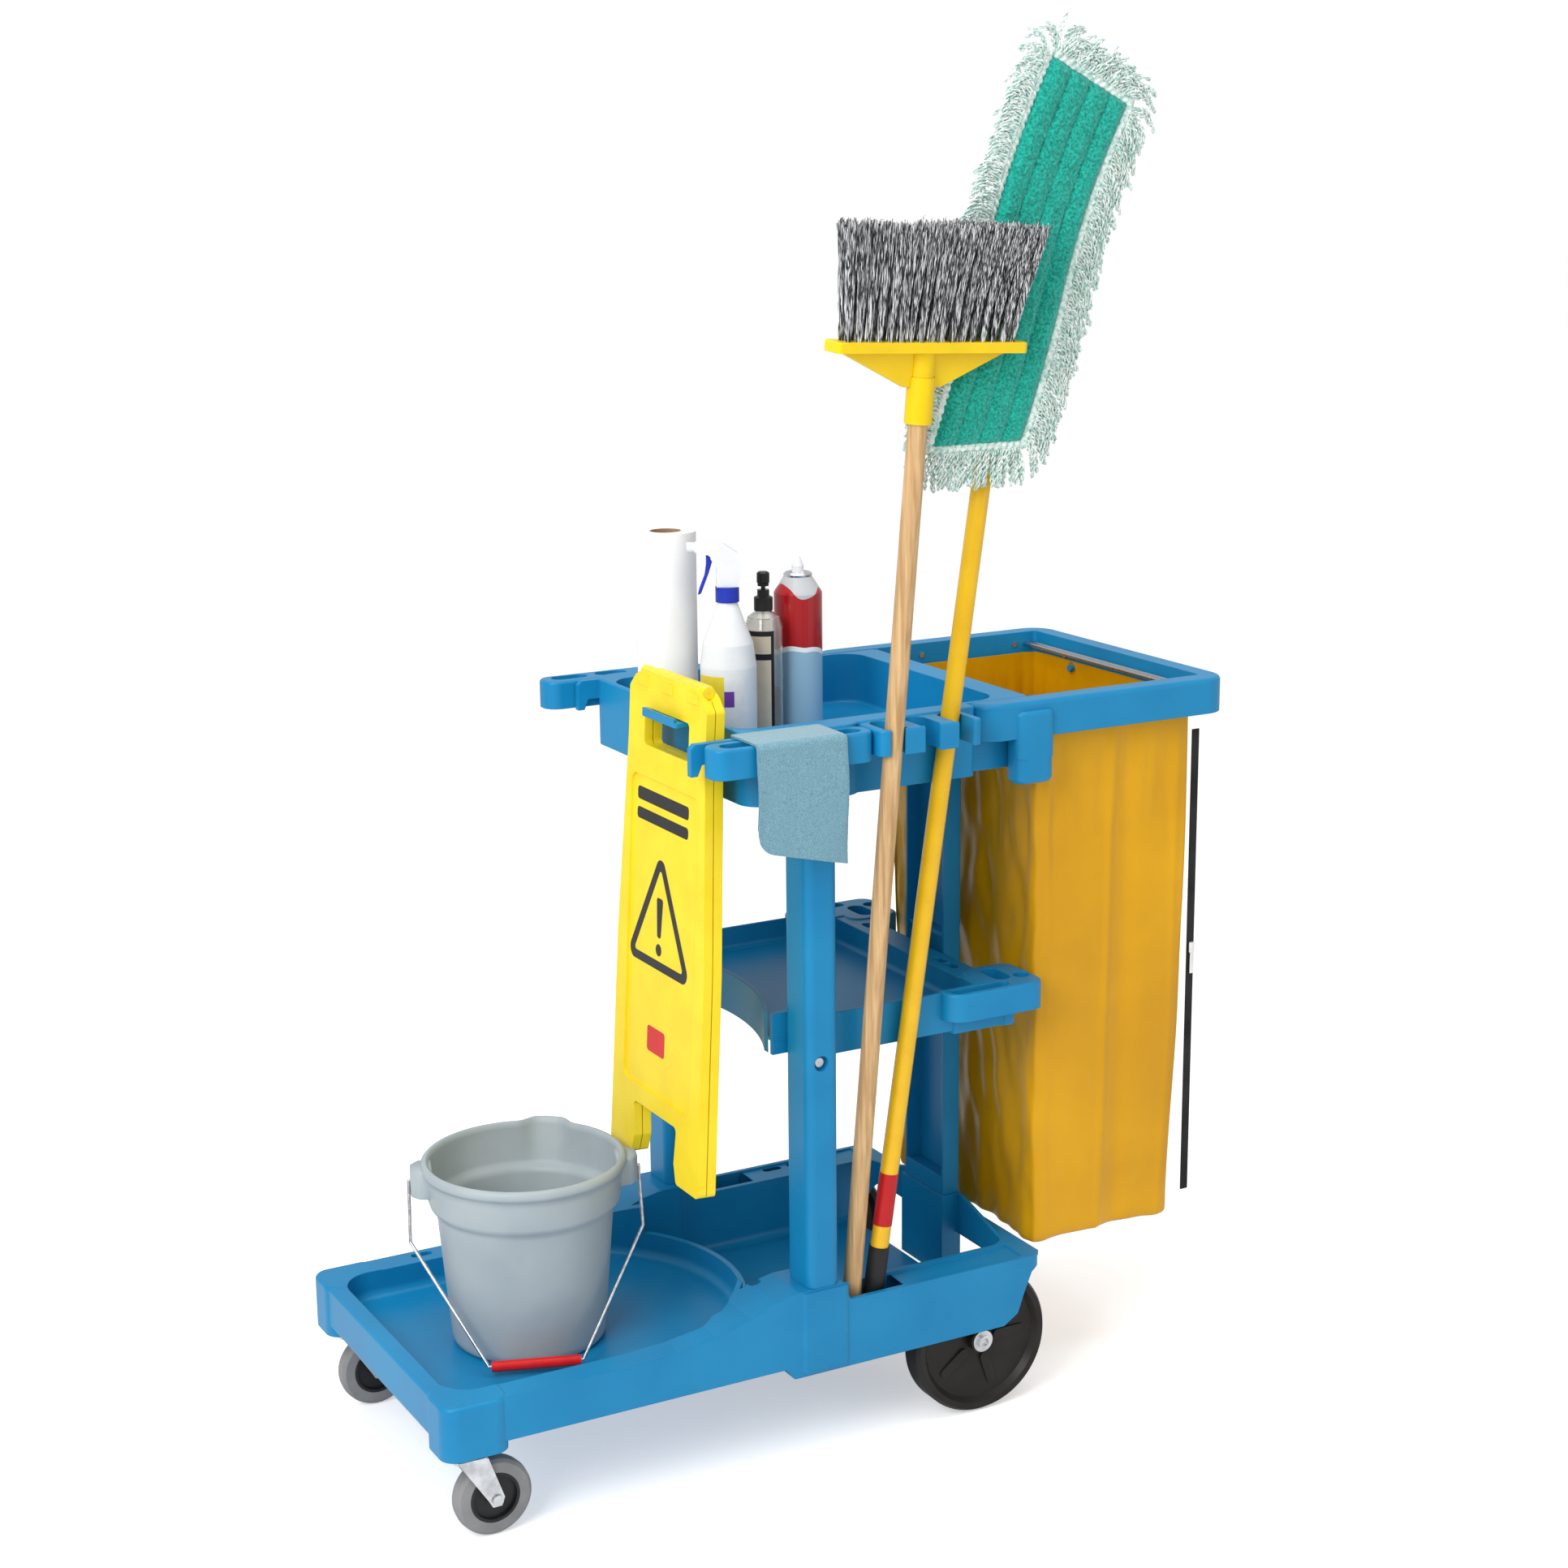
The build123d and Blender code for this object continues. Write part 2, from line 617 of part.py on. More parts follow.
def bucket_bail():
    points = [Vector(*point) for point in bail_path()]
    wire = Pos(points[0]) * Sphere(bail_radius)
    for start, end in zip(points[:-1], points[1:]):
        run = end - start
        wire = wire + Plane(start, z_dir=run) * pin(0, 0, 0, bail_radius, run.length)
        wire = wire + Pos(end) * Sphere(bail_radius)
    return Pos(bucket_x, bucket_y, 0) * Rot(0, 0, bail_turn) * wire


def bail_grip():
    middle = bail_path()[3]
    tube = Rot(0, 90, 0) * (Cylinder(grip_radius, grip_length) - Cylinder(bail_radius + seat_gap, 200))
    return Pos(bucket_x, bucket_y, 0) * Rot(0, 0, bail_turn) * Pos(0, middle[1], middle[2]) * tube


def leaf_outline():
    """One leaf of the sign, standing on its two feet, with the grip hole cut out."""
    top = sign_top_width / 2
    foot = sign_foot_width / 2
    h = sign_height
    outline = make_face(Polyline(
        (-foot, 0), (-foot + 62, 0), (-foot + 70, 26), (-62, 74), (62, 74), (foot - 70, 26), (foot - 62, 0),
        (foot, 0), (foot - 4, h * 0.45), (top, h * 0.86), (top, h - 26), (top - 16, h - 10), (70, h),
        (-70, h), (-top + 16, h - 10), (-top, h - 26), (-top, h * 0.86), (-foot + 4, h * 0.45), close=True))
    outline = fillet(outline.vertices(), 7)
    lean = sign_lean * pi / 180
    foot_z = sign_top - h * cos(lean)
    grip_top = (plate_top + touch_gap + (leaf_thickness + 0.6) * sin(lean) - foot_z) / cos(lean)
    grip = Pos(0, grip_top - 24) * RectangleRounded(124, 48, 6)
    return outline - grip


def sign_place(shape):
    """Hang a leaf drawn in its own flat frame on the tray's sign plate."""
    foot = sign_top - sign_height * cos(sign_lean * pi / 180)
    return Pos(sign_x - sign_height * sin(sign_lean * pi / 180), sign_y, foot) * Rot(0, sign_lean, 0) * shape


def sign_leaf(front):
    flat = extrude(Plane.YZ * leaf_outline(), leaf_thickness, dir=(1, 0, 0))
    panel = extrude(Plane.YZ * Pos(0, sign_height * 0.47) * RectangleRounded(190, 410, 14), 3, dir=(1, 0, 0))
    if front:
        leaf = Pos(-leaf_thickness - 0.6, 0, 0) * (flat - panel)
        knuckles = (-70, 0, 70)
    else:
        leaf = Pos(0.6, 0, 0) * (flat - Pos(leaf_thickness - 3, 0, 0) * panel)
        knuckles = (-35, 35)
    hinge = Pos(0, 0, sign_height - 6) * Rot(90, 0, 0)
    leaf = leaf - hinge * Cylinder(8.2, 300)
    for y in knuckles:
        knuckle = Pos(0, y, 0) * hinge * Cylinder(8, 34)
        reach = -9 if front else 9
        bridge = Pos(reach, y, sign_height - 14) * Box(9, 30, 14)
        leaf = leaf + knuckle + (bridge - hinge * Cylinder(7.9, 400))
    leaf = leaf - hinge * Cylinder(2 + seat_gap, 400)
    return sign_place(leaf)


def sign_hinge_pin():
    return sign_place(Pos(0, 0, sign_height - 6) * Rot(90, 0, 0) * Cylinder(2, 174))


def along(foot, slope, shape):
    """Move a tool drawn upright from its foot onto its leaning handle line."""
    return Plane(foot, x_dir=(1, 0, -slope.X), z_dir=slope) * shape


def broom_part(shape):
    return along(broom_foot, broom_slope, shape)


def broom_handle():
    low = broom_length - 28
    taper = Pos(0, 0, low + 13) * Cone(handle_radius, 9, 26)
    return broom_part(pin(0, 0, 0, handle_radius, low) + taper)


def broom_socket():
    low = broom_length - 52
    socket = pin(0, 0, low, 17, 56) + pin(0, 0, low + 56, 15, 34)
    socket = socket - pin(0, 0, low - 1, handle_radius + touch_gap, 56) - pin(0, 0, low, 10, 60)
    return broom_part(socket)


def broom_head():
    low = broom_length + 8
    web = side_plate([(-118, low + 27), (118, low + 27), (26, low - 16), (-26, low - 16)], -4, 4)
    bar = soft_top(block((-132, 132), (-27, 11), (low + 27, low + 40), 6), 2)
    room = pin(0, 0, low - 40, 17 + head_gap, 36 + head_gap)
    room = room + pin(0, 0, low - 40, 15 + head_gap, 70 + head_gap)
    return broom_part(web + bar - room)


def broom_bristles():
    low = broom_length + 48 + touch_gap
    foot = Pos(-4, -9, low) * Rectangle(248, 30)
    tips = Pos(10, -14, low + 140) * Rectangle(290, 34)
    return broom_part(loft([foot, tips]))


def mop_part(shape):
    return along(mop_foot, mop_slope, shape)


def mop_handle():
    return mop_part(pin(0, 0, 10, handle_radius, mop_length - 10))


def mop_grip():
    grip = pin(0, 0, 0, handle_radius + 1.4, 98) - pin(0, 0, 10 - touch_gap, handle_radius + touch_gap, 120)
    return mop_part(grip)


def mop_band():
    return mop_part(pin(0, 0, 128, handle_radius + 0.5, 72) - pin(0, 0, 120, handle_radius + touch_gap, 90))


def pad_plate(grow, near, far):
    """Plate of the pad's outline grown all round, between two depths."""
    outline = Polyline(
        (pad_foot_left - grow, pad_low - grow), (pad_foot_right + grow, pad_low - grow),
        (pad_top_right + grow * 1.25, pad_high - pad_drop - grow * 0.1),
        (pad_top_left - grow * 0.4, pad_high + grow), close=True)
    plate = extrude(Plane.XZ * make_face(outline), far - near, dir=(0, -1, 0))
    return Pos(0, far, 0) * plate


def mop_head_part(shape):
    """Move a head piece drawn upright onto the mop's slope away from the row."""
    return Pos(0, mop_foot.Y, mop_foot.Z) * Rot(degrees(atan(-mop_slope.Y)), 0, 0) * shape


def mop_frame():
    """Flat wire-like frame with the plate that turns on the yoke's pivot."""
    back = (pad_back + 0.3, pad_back + 4)
    ring = pad_plate(-24, *back) - pad_plate(-44, pad_back - 5, pad_back + 9)
    hub = block((mop_hub_x - 34, mop_hub_x + 34), back, (mop_hub_z - 30, mop_hub_z + 30))
    bar = block((mop_hub_x - 75, mop_hub_x + 60), back, (mop_hub_z - 9, mop_hub_z + 9))
    frame = ring + hub + bar - cross_pin(mop_hub_x, 0, mop_hub_z, pivot_radius + seat_gap, 80)
    return mop_head_part(frame)


def mop_yoke():
    """Socket on the end of the handle with the pivot that the head turns on."""
    boss_face = pad_back + 4 + touch_gap
    boss = cross_pin(mop_hub_x, (boss_face - 9) / 2, mop_hub_z, 14, -9 - boss_face)
    pivot = cross_pin(mop_hub_x, (pad_back + 0.4 - 9) / 2, mop_hub_z, pivot_radius, -9 - pad_back - 0.4)
    socket = mop_part(pin(0, 0, mop_length - 70, 16.5, 78))
    bore = mop_part(pin(0, 0, mop_length - 90, handle_radius + touch_gap, 90 + touch_gap))
    return mop_head_part(boss + pivot) + socket - bore


def mop_pad():
    return mop_head_part(pad_plate(0, pad_back - 13, pad_back - 0.3))


def mop_fringe():
    ring = pad_plate(46, pad_back - 4, pad_back) - pad_plate(0.4, pad_back - 30, pad_back + 10)
    return mop_head_part(ring)


def standing(x, y, profile):
    """Turned shape standing on the tray floor, from (radius, height) points."""
    face = make_face(Plane.XZ * Polyline(*profile, close=True))
    return Pos(x, y, tray_floor + touch_gap) * revolve(face, Axis.Z)


def towel_roll():
    return standing(towel_x, towel_y, [
        (towel_core, 0), (towel_radius, 0), (towel_radius, towel_height), (towel_core, towel_height)])


def towel_core_tube():
    radius = towel_core - touch_gap
    inside = radius - 1.2
    return standing(towel_x, towel_y, [
        (inside, 0), (radius, 0), (radius, towel_height), (inside, towel_height)])


def spray_body():
    return standing(spray_x, spray_y, [
        (0, 0), (32, 0), (37, 6), (37, 110), (33, 140), (22, 168), (13, 193), (13, 205),
        (11, 205), (11, 190), (19, 166), (30, 138), (34.5, 108), (34.5, 7), (31, 2.5), (0, 2.5)])


def spray_collar():
    inside = 13 + touch_gap
    return standing(spray_x, spray_y, [
        (inside, 196), (15.5, 194), (15.5, 214), (5, 214), (5, 205.1), (inside, 205.1)])


def spray_top(shape):
    """Set a piece drawn about the bottle's neck on top of the collar."""
    return Pos(spray_x, spray_y, tray_floor + 214 + 2 * touch_gap) * Rot(0, 0, spray_turn) * shape


def spray_head():
    points = [(-14, 0), (15, 0), (19, 22), (14, 44), (-4, 56), (-34, 60), (-42, 57), (-42, 46),
              (-24, 42), (-14, 24)]
    head = side_plate(points, -9, 9)
    head = head - block((-32, -13), (-5.5, 5.5), (10, 47))
    nozzle = Pos(-47, 0, 51.5) * Rot(0, 90, 0) * Cylinder(6.5, 10)
    head = head + nozzle - cross_pin(*trigger_pivot, trigger_pin + seat_gap, 30)
    return spray_top(head)


def spray_trigger():
    points = [(-27, 41), (-20, 41), (-19, 34), (-24, 18), (-34, -8), (-38, -10), (-36, -2), (-29, 16),
              (-27, 30)]
    lever = side_plate(points, -5, 5)
    return spray_top(lever + cross_pin(*trigger_pivot, trigger_pin, 17))


def mist_body():
    return standing(mist_x, mist_y, [
        (0, 0), (22, 0), (25, 4), (25, 150), (21, 164), (10, 172), (10, 186),
        (8.5, 186), (8.5, 171), (19.5, 162.5), (23.2, 149), (23.2, 5), (21, 1.8), (0, 1.8)])


def mist_liquid():
    return standing(mist_x, mist_y, [
        (0, 1.85), (20.8, 1.85), (23.1, 5.2), (23.1, 66), (2.2, 66), (2.2, 6), (0, 6)])


def mist_tube():
    return pin(mist_x, mist_y, tray_floor + 6.1, 1.8, 175.5)


def mist_collar():
    return standing(mist_x, mist_y, [
        (10 + touch_gap, 172.6), (12.5, 172.6), (12.5, 190), (8, 192), (8, 200), (3, 200), (3, 186.1),
        (10 + touch_gap, 186.1)])


def mist_head():
    stem = 3 - seat_gap
    return standing(mist_x, mist_y, [
        (0, 187), (stem, 187), (stem, 205), (7.5, 205), (7.5, 208), (8.5, 210), (8.5, 222),
        (6, 224), (0, 224)])


def can_body():
    return standing(can_x, can_y, [
        (0, 3), (28, 3), (30, 0), (32.5, 2), (32.5, 188), (31, 191), (19, 210),
        (17, 210), (29, 190), (31.9, 187), (31.9, 3.6), (30, 2.2), (29, 4), (0, 4)])


def can_cup():
    return standing(can_x, can_y, [
        (0, 210.05), (19, 210.05), (19.5, 213), (17, 215.5), (15, 213), (5, 214), (5, 219), (0, 219)])


def can_actuator():
    return standing(can_x, can_y, [
        (5.1, 216), (8, 216), (8, 224), (5, 232), (3, 236), (0, 236), (0, 222), (5.1, 222)])


def cloth():
    """Folded cloth hung over the near tool lobe."""
    face = -lobe_half - 0.4
    skirt = block((420, 536), (face - 4, face), (842, top_height + 2))
    top = block((420, 536), (face - 4, -tray_half + 22), (top_height + 0.4, top_height + 4.4))
    tail = block((434, 530), (face - 7, face - 3.9), (822, 900))
    return skirt + top + tail


def build():
    parts = {
        "base_platform": base_platform(),
        "upright_near": upright(-1),
        "upright_far": upright(1),
        "upright_screws": upright_screws(),
        "rear_post": rear_post(),
        "mid_shelf": mid_shelf(),
        "top_tray": top_tray(),
        "bag_frame": bag_frame(),
        "bag_rods": bag_rods(),
        "frame_screws": frame_screws(),
        "bag": bag(),
        "bag_grommets": bag_grommets(),
        "zipper_tape": zipper_tape(),
        "zipper_slider": zipper_slider(),
        "rear_axle": rear_axle(),
        "axle_caps": axle_caps(),
        "bucket": bucket(),
        "bucket_bail": bucket_bail(),
        "bail_grip": bail_grip(),
        "sign_front_leaf": sign_leaf(True),
        "sign_rear_leaf": sign_leaf(False),
        "sign_hinge_pin": sign_hinge_pin(),
        "broom_handle": broom_handle(),
        "broom_socket": broom_socket(),
        "broom_head": broom_head(),
        "broom_bristles": broom_bristles(),
        "mop_handle": mop_handle(),
        "mop_grip": mop_grip(),
        "mop_band": mop_band(),
        "mop_yoke": mop_yoke(),
        "mop_frame": mop_frame(),
        "mop_pad": mop_pad(),
        "mop_fringe": mop_fringe(),
        "towel_roll": towel_roll(),
        "towel_core": towel_core_tube(),
        "spray_body": spray_body(),
        "spray_collar": spray_collar(),
        "spray_head": spray_head(),
        "spray_trigger": spray_trigger(),
        "mist_body": mist_body(),
        "mist_liquid": mist_liquid(),
        "mist_tube": mist_tube(),
        "mist_collar": mist_collar(),
        "mist_head": mist_head(),
        "can_body": can_body(),
        "can_cup": can_cup(),
        "can_actuator": can_actuator(),
        "cloth": cloth(),
    }
    for name, side in (("near", -1), ("far", 1)):
        parts["caster_fork_" + name] = caster_fork(side)
        parts["caster_axle_" + name] = caster_axle(side)
        parts["caster_hub_" + name] = caster_hub(side)
        parts["caster_tyre_" + name] = caster_tyre(side)
        parts["rear_wheel_" + name] = rear_wheel(side)
    return parts


os.makedirs("parts", exist_ok=True)
for node, shape in build().items():
    placed = Pos(-origin_x, -origin_y, 0) * shape
    export_step(placed, "parts/" + node + ".step")
    box = placed.bounding_box()
    corners = [round(value, 1) for value in (*box.min, *box.max)]
    print(node, len(placed.solids()), corners, round(placed.volume / 1000, 1))
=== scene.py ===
import json
import math
import random
import bmesh
import bpy
from mathutils import Matrix, Vector, noise


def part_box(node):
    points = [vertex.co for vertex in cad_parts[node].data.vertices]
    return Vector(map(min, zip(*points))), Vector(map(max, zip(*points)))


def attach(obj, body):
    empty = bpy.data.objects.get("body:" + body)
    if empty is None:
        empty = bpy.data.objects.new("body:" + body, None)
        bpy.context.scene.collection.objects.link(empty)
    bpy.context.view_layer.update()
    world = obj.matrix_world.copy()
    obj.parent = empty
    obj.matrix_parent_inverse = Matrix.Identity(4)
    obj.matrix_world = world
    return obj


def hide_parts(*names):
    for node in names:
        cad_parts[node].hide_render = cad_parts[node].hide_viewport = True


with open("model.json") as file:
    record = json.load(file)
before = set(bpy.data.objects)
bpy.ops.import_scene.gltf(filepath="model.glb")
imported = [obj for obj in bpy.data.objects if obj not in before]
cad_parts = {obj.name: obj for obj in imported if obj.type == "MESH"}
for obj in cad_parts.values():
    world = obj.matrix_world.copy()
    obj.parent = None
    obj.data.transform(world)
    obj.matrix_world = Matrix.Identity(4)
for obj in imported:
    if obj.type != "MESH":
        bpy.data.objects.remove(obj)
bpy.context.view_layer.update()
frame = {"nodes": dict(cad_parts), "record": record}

random.seed(12)

# The cart is laid out in millimetres from the front edge of its deck (x), its middle
# plane (y) and the floor (z). The bag frame's rear bar gives both origins.
frameLow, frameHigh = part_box("bag_frame")
cartLength = 1168
backX = frameHigh.x
middleY = (frameLow.y + frameHigh.y) / 2


def at(x, y, z):
    return Vector((backX + (x - cartLength) / 1000, middleY + y / 1000, z / 1000))


# small helpers for working by hand
def pickNothing():
    if bpy.context.object and bpy.context.object.mode != "OBJECT":
        bpy.ops.object.mode_set(mode="OBJECT")
    bpy.ops.object.select_all(action="DESELECT")


def pick(*pieces):
    pickNothing()
    for piece in pieces:
        piece.select_set(True)
    bpy.context.view_layer.objects.active = pieces[0]


def settle(piece):
    # the place goes into the mesh, so the object sits at the origin
    pick(piece)
    bpy.ops.object.transform_apply(location=True, rotation=True, scale=True)
    return piece


def applyAll(piece):
    pick(piece)
    for modifier in list(piece.modifiers):
        bpy.ops.object.modifier_apply(modifier=modifier.name)
    return piece


def smooth(piece, angle=35):
    pick(piece)
    bpy.ops.object.shade_smooth_by_angle(angle=math.radians(angle))
    return piece


def addBevel(piece, width, segments=2, angle=30):
    bevel = piece.modifiers.new("softEdges", "BEVEL")
    bevel.width = width
    bevel.segments = segments
    bevel.limit_method = "ANGLE"
    bevel.angle_limit = math.radians(angle)
    bevel.use_clamp_overlap = False
    bevel.miter_outer = "MITER_ARC"
    bevel.harden_normals = True
    return bevel


def addSubdivision(piece, levels):
    soft = piece.modifiers.new("soft", "SUBSURF")
    soft.levels = levels
    soft.render_levels = levels
    return soft


def dress(piece, body, slotName, material, *nodes):
    # every piece gets its finish, its body and the nodes it stands for in one place
    piece.data.materials.clear()
    piece.data.materials.append(material)
    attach(piece, body)
    if nodes:
        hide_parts(*nodes)
    return piece


def joined(name, pieces):
    pick(*pieces)
    if len(pieces) > 1:
        bpy.ops.object.join()
    piece = bpy.context.object
    piece.name = name
    piece.data.name = name
    return piece


def turned(name, profile, place, steps=64, closed=True):
    # a wall drawn as (radius, height) points in mm, spun round the upright axis
    pickNothing()
    bpy.ops.mesh.primitive_plane_add(size=0.001, location=(0, 0, 0))
    piece = bpy.context.object
    piece.name = name
    bpy.ops.object.mode_set(mode="EDIT")
    mesh = bmesh.from_edit_mesh(piece.data)
    bmesh.ops.delete(mesh, geom=list(mesh.verts), context="VERTS")
    points = [mesh.verts.new((radius / 1000, 0, height / 1000)) for radius, height in profile]
    for first, second in zip(points, points[1:]):
        mesh.edges.new((first, second))
    if closed:
        mesh.edges.new((points[-1], points[0]))
    for vert in mesh.verts:
        vert.select = True
    mesh.select_flush(True)
    bmesh.update_edit_mesh(piece.data)
    bpy.ops.mesh.select_all(action="SELECT")
    bpy.ops.mesh.spin(steps=steps, angle=2 * math.pi, center=(0, 0, 0), axis=(0, 0, 1))
    bpy.ops.mesh.select_all(action="SELECT")
    bpy.ops.mesh.remove_doubles(threshold=0.00002)
    bpy.ops.mesh.normals_make_consistent(inside=False)
    bpy.ops.object.mode_set(mode="OBJECT")
    piece.location = place
    return settle(piece)


def gridSheet(name, across, along):
    # a flat grid from 0 to 1 both ways, ready to be bent into place
    pickNothing()
    bpy.ops.mesh.primitive_grid_add(
        x_subdivisions=across, y_subdivisions=along, size=1, location=(0.5, 0.5, 0))
    piece = bpy.context.object
    piece.name = name
    return settle(piece)


def shapeBy(piece, rule):
    for vert in piece.data.vertices:
        vert.co = rule(vert.co)
    piece.data.update()
    return piece


def ripple(point, size, seed=0.0):
    return noise.noise(Vector(point) / size + Vector((seed, seed * 1.7, -seed)))


# finishes
def wire(tree, source, target):
    tree.links.new(source, target)


def finish(name, recipe):
    # a finish is a body colour that drifts between two tones, a grain that drives the bump,
    # and a roughness that drifts with the same noise as the body colour
    material = bpy.data.materials.new(name)
    material.use_nodes = True
    tree = material.node_tree
    shader = tree.nodes["Principled BSDF"]
    shader.inputs["Metallic"].default_value = recipe.get("metal", 0.0)
    shader.inputs["IOR"].default_value = recipe.get("ior", 1.46)
    shader.inputs["Specular IOR Level"].default_value = recipe.get("shine", 0.32)
    shader.inputs["Coat Weight"].default_value = recipe.get("coat", 0.0)
    shader.inputs["Coat Roughness"].default_value = recipe.get("coatRoughness", 0.1)
    shader.inputs["Sheen Weight"].default_value = recipe.get("sheen", 0.0)
    shader.inputs["Sheen Roughness"].default_value = recipe.get("sheenRoughness", 0.5)
    shader.inputs["Subsurface Weight"].default_value = recipe.get("glow", 0.0)
    shader.inputs["Subsurface Scale"].default_value = 0.004
    shader.inputs["Transmission Weight"].default_value = recipe.get("clear", 0.0)
    coordinates = tree.nodes.new("ShaderNodeTexCoord")
    mapping = tree.nodes.new("ShaderNodeMapping")
    mapping.inputs["Scale"].default_value = recipe.get("stretch", (1, 1, 1))
    mapping.inputs["Rotation"].default_value = recipe.get("turn", (0, 0, 0))
    wire(tree, coordinates.outputs["Object"], mapping.inputs["Vector"])
    tone = tree.nodes.new("ShaderNodeTexNoise")
    tone.inputs["Scale"].default_value = recipe.get("toneScale", 20)
    tone.inputs["Detail"].default_value = recipe.get("toneDetail", 4)
    wire(tree, mapping.outputs["Vector"], tone.inputs["Vector"])
    ramp = tree.nodes.new("ShaderNodeValToRGB")
    low, high = recipe.get("toneRange", (0.35, 0.65))
    ramp.color_ramp.elements[0].position = low
    ramp.color_ramp.elements[1].position = high
    ramp.color_ramp.elements[0].color = (*recipe["dark"], 1)
    ramp.color_ramp.elements[1].color = (*recipe["light"], 1)
    wire(tree, tone.outputs["Fac"], ramp.inputs["Fac"])
    wire(tree, ramp.outputs["Color"], shader.inputs["Base Color"])
    grain = tree.nodes.new("ShaderNodeTexNoise")
    grain.inputs["Scale"].default_value = recipe.get("grainScale", 900)
    grain.inputs["Detail"].default_value = recipe.get("grainDetail", 3)
    wire(tree, mapping.outputs["Vector"], grain.inputs["Vector"])
    bump = tree.nodes.new("ShaderNodeBump")
    bump.inputs["Strength"].default_value = recipe.get("bump", 0.2)
    bump.inputs["Distance"].default_value = recipe.get("depth", 0.0002)
    wire(tree, grain.outputs["Fac"], bump.inputs["Height"])
    if "edge" in recipe:
        # moulded edges catch the light along a small radius
        edge = tree.nodes.new("ShaderNodeBevel")
        edge.samples = 6
        edge.inputs["Radius"].default_value = recipe["edge"] / 1000
        wire(tree, edge.outputs["Normal"], bump.inputs["Normal"])
    wire(tree, bump.outputs["Normal"], shader.inputs["Normal"])
    spread = tree.nodes.new("ShaderNodeMapRange")
    rough = recipe.get("rough", 0.4)
    spread.inputs["To Min"].default_value = rough - recipe.get("roughSpread", 0.05)
    spread.inputs["To Max"].default_value = rough + recipe.get("roughSpread", 0.05)
    wire(tree, tone.outputs["Fac"], spread.inputs["Value"])
    wire(tree, spread.outputs["Result"], shader.inputs["Roughness"])
    return material


# room, light and camera
room = {
    "floorSize": 60,
    "floorTone": (0.93, 0.93, 0.93),
    "skyTone": (1.0, 1.0, 1.0),
    "skyStrength": 0.62,
    "backdrop": 1.02, "floorGlow": 0.42,
}
view = {
    "place": (-1067.7, -3058.55, 1681.47),
    "turn": 28.669,
    "dip": 13.442,
    "roll": -0.556,
    "lens": 61.85,
}
lamps = {
    "keyLeft": {"place": (-1900, -1500, 2300), "aim": (500, 0, 650), "size": 1.6, "power": 66},
    "overhead": {"place": (500, -200, 3300), "aim": (560, 0, 500), "size": 2.2, "power": 34},
    "fillRight": {"place": (2400, -2600, 1500), "aim": (700, 0, 700), "size": 2.0, "power": 9},
}

pickNothing()
bpy.ops.mesh.primitive_plane_add(size=room["floorSize"], location=(0, 0, -0.0005))
floor = bpy.context.object
floor.name = "floor"
floorPaint = finish("floorPaint", {
    "dark": room["floorTone"], "light": room["floorTone"], "rough": 0.75, "bump": 0.02})
floor.data.materials.append(floorPaint)

world = bpy.data.worlds.new("studio")
bpy.context.scene.world = world
world.use_nodes = True
sky = world.node_tree.nodes["Background"]
sky.inputs["Color"].default_value = (*room["skyTone"], 1)

# the paper sweep stays white behind the object, whatever the light on the object
skyTree = world.node_tree
seen = skyTree.nodes.new("ShaderNodeLightPath")
level = skyTree.nodes.new("ShaderNodeMapRange")
level.inputs["To Min"].default_value = room["skyStrength"]
level.inputs["To Max"].default_value = room["backdrop"]
wire(skyTree, seen.outputs["Is Camera Ray"], level.inputs["Value"])
wire(skyTree, level.outputs["Result"], sky.inputs["Strength"])
floorTree = floorPaint.node_tree
paper = floorTree.nodes.new("ShaderNodeLightPath")
glow = floorTree.nodes.new("ShaderNodeMath")
glow.operation = "MULTIPLY"
glow.inputs[1].default_value = room["floorGlow"]
wire(floorTree, paper.outputs["Is Camera Ray"], glow.inputs[0])
floorShader = floorTree.nodes["Principled BSDF"]
floorShader.inputs["Emission Color"].default_value = (1, 1, 1, 1)
wire(floorTree, glow.outputs[0], floorShader.inputs["Emission Strength"])

for lampName, lamp in lamps.items():
    place, aim = at(*lamp["place"]), at(*lamp["aim"])
    bpy.ops.object.light_add(type="AREA", location=place)
    light = bpy.context.object
    light.name = lampName
    light.data.size = lamp["size"]
    light.data.energy = lamp["power"]
    light.rotation_euler = (aim - place).to_track_quat("-Z", "Y").to_euler()

bpy.ops.object.camera_add(location=at(*view["place"]))
camera = bpy.context.object
camera.rotation_mode = "QUATERNION"
camera.rotation_quaternion = (
    Matrix.Rotation(-math.radians(view["turn"]), 3, "Z")
    @ Matrix.Rotation(math.radians(90 - view["dip"]), 3, "X")
    @ Matrix.Rotation(math.radians(view["roll"]), 3, "Z")
).to_quaternion()
camera.data.lens = view["lens"]
camera.data.sensor_width = 36
camera.data.clip_start = 0.05
bpy.context.scene.camera = camera
bpy.context.scene.view_settings.view_transform = "Standard"
print("room, lights and camera are ready")
# the cart's moulded body
cartBlue = finish("cartBlue", {
    "dark": (0.004, 0.205, 0.440), "light": (0.008, 0.235, 0.480), "edge": 1.8,
    "rough": 0.36, "roughSpread": 0.05, "toneScale": 9, "grainScale": 2600, "bump": 0.12,
    "depth": 0.00012,
})

# the hung waste bag
sack = {
    "front": 880, "back": 1133, "half": 190, "foot": 200, "mouth": 946, "cuts": 22,
    "hem": 26, "skin": 1.4, "creaseAt": 1004, "crossCreaseAt": 585,
}
vinyl = finish("bagVinyl", {
    "dark": (0.63, 0.305, 0.0), "light": (0.74, 0.375, 0.001), "toneScale": 5, "toneDetail": 3,
    "rough": 0.34, "roughSpread": 0.08, "grainScale": 34, "grainDetail": 5, "bump": 0.5, "depth": 0.0026,
    "coat": 0.04, "coatRoughness": 0.18,
})


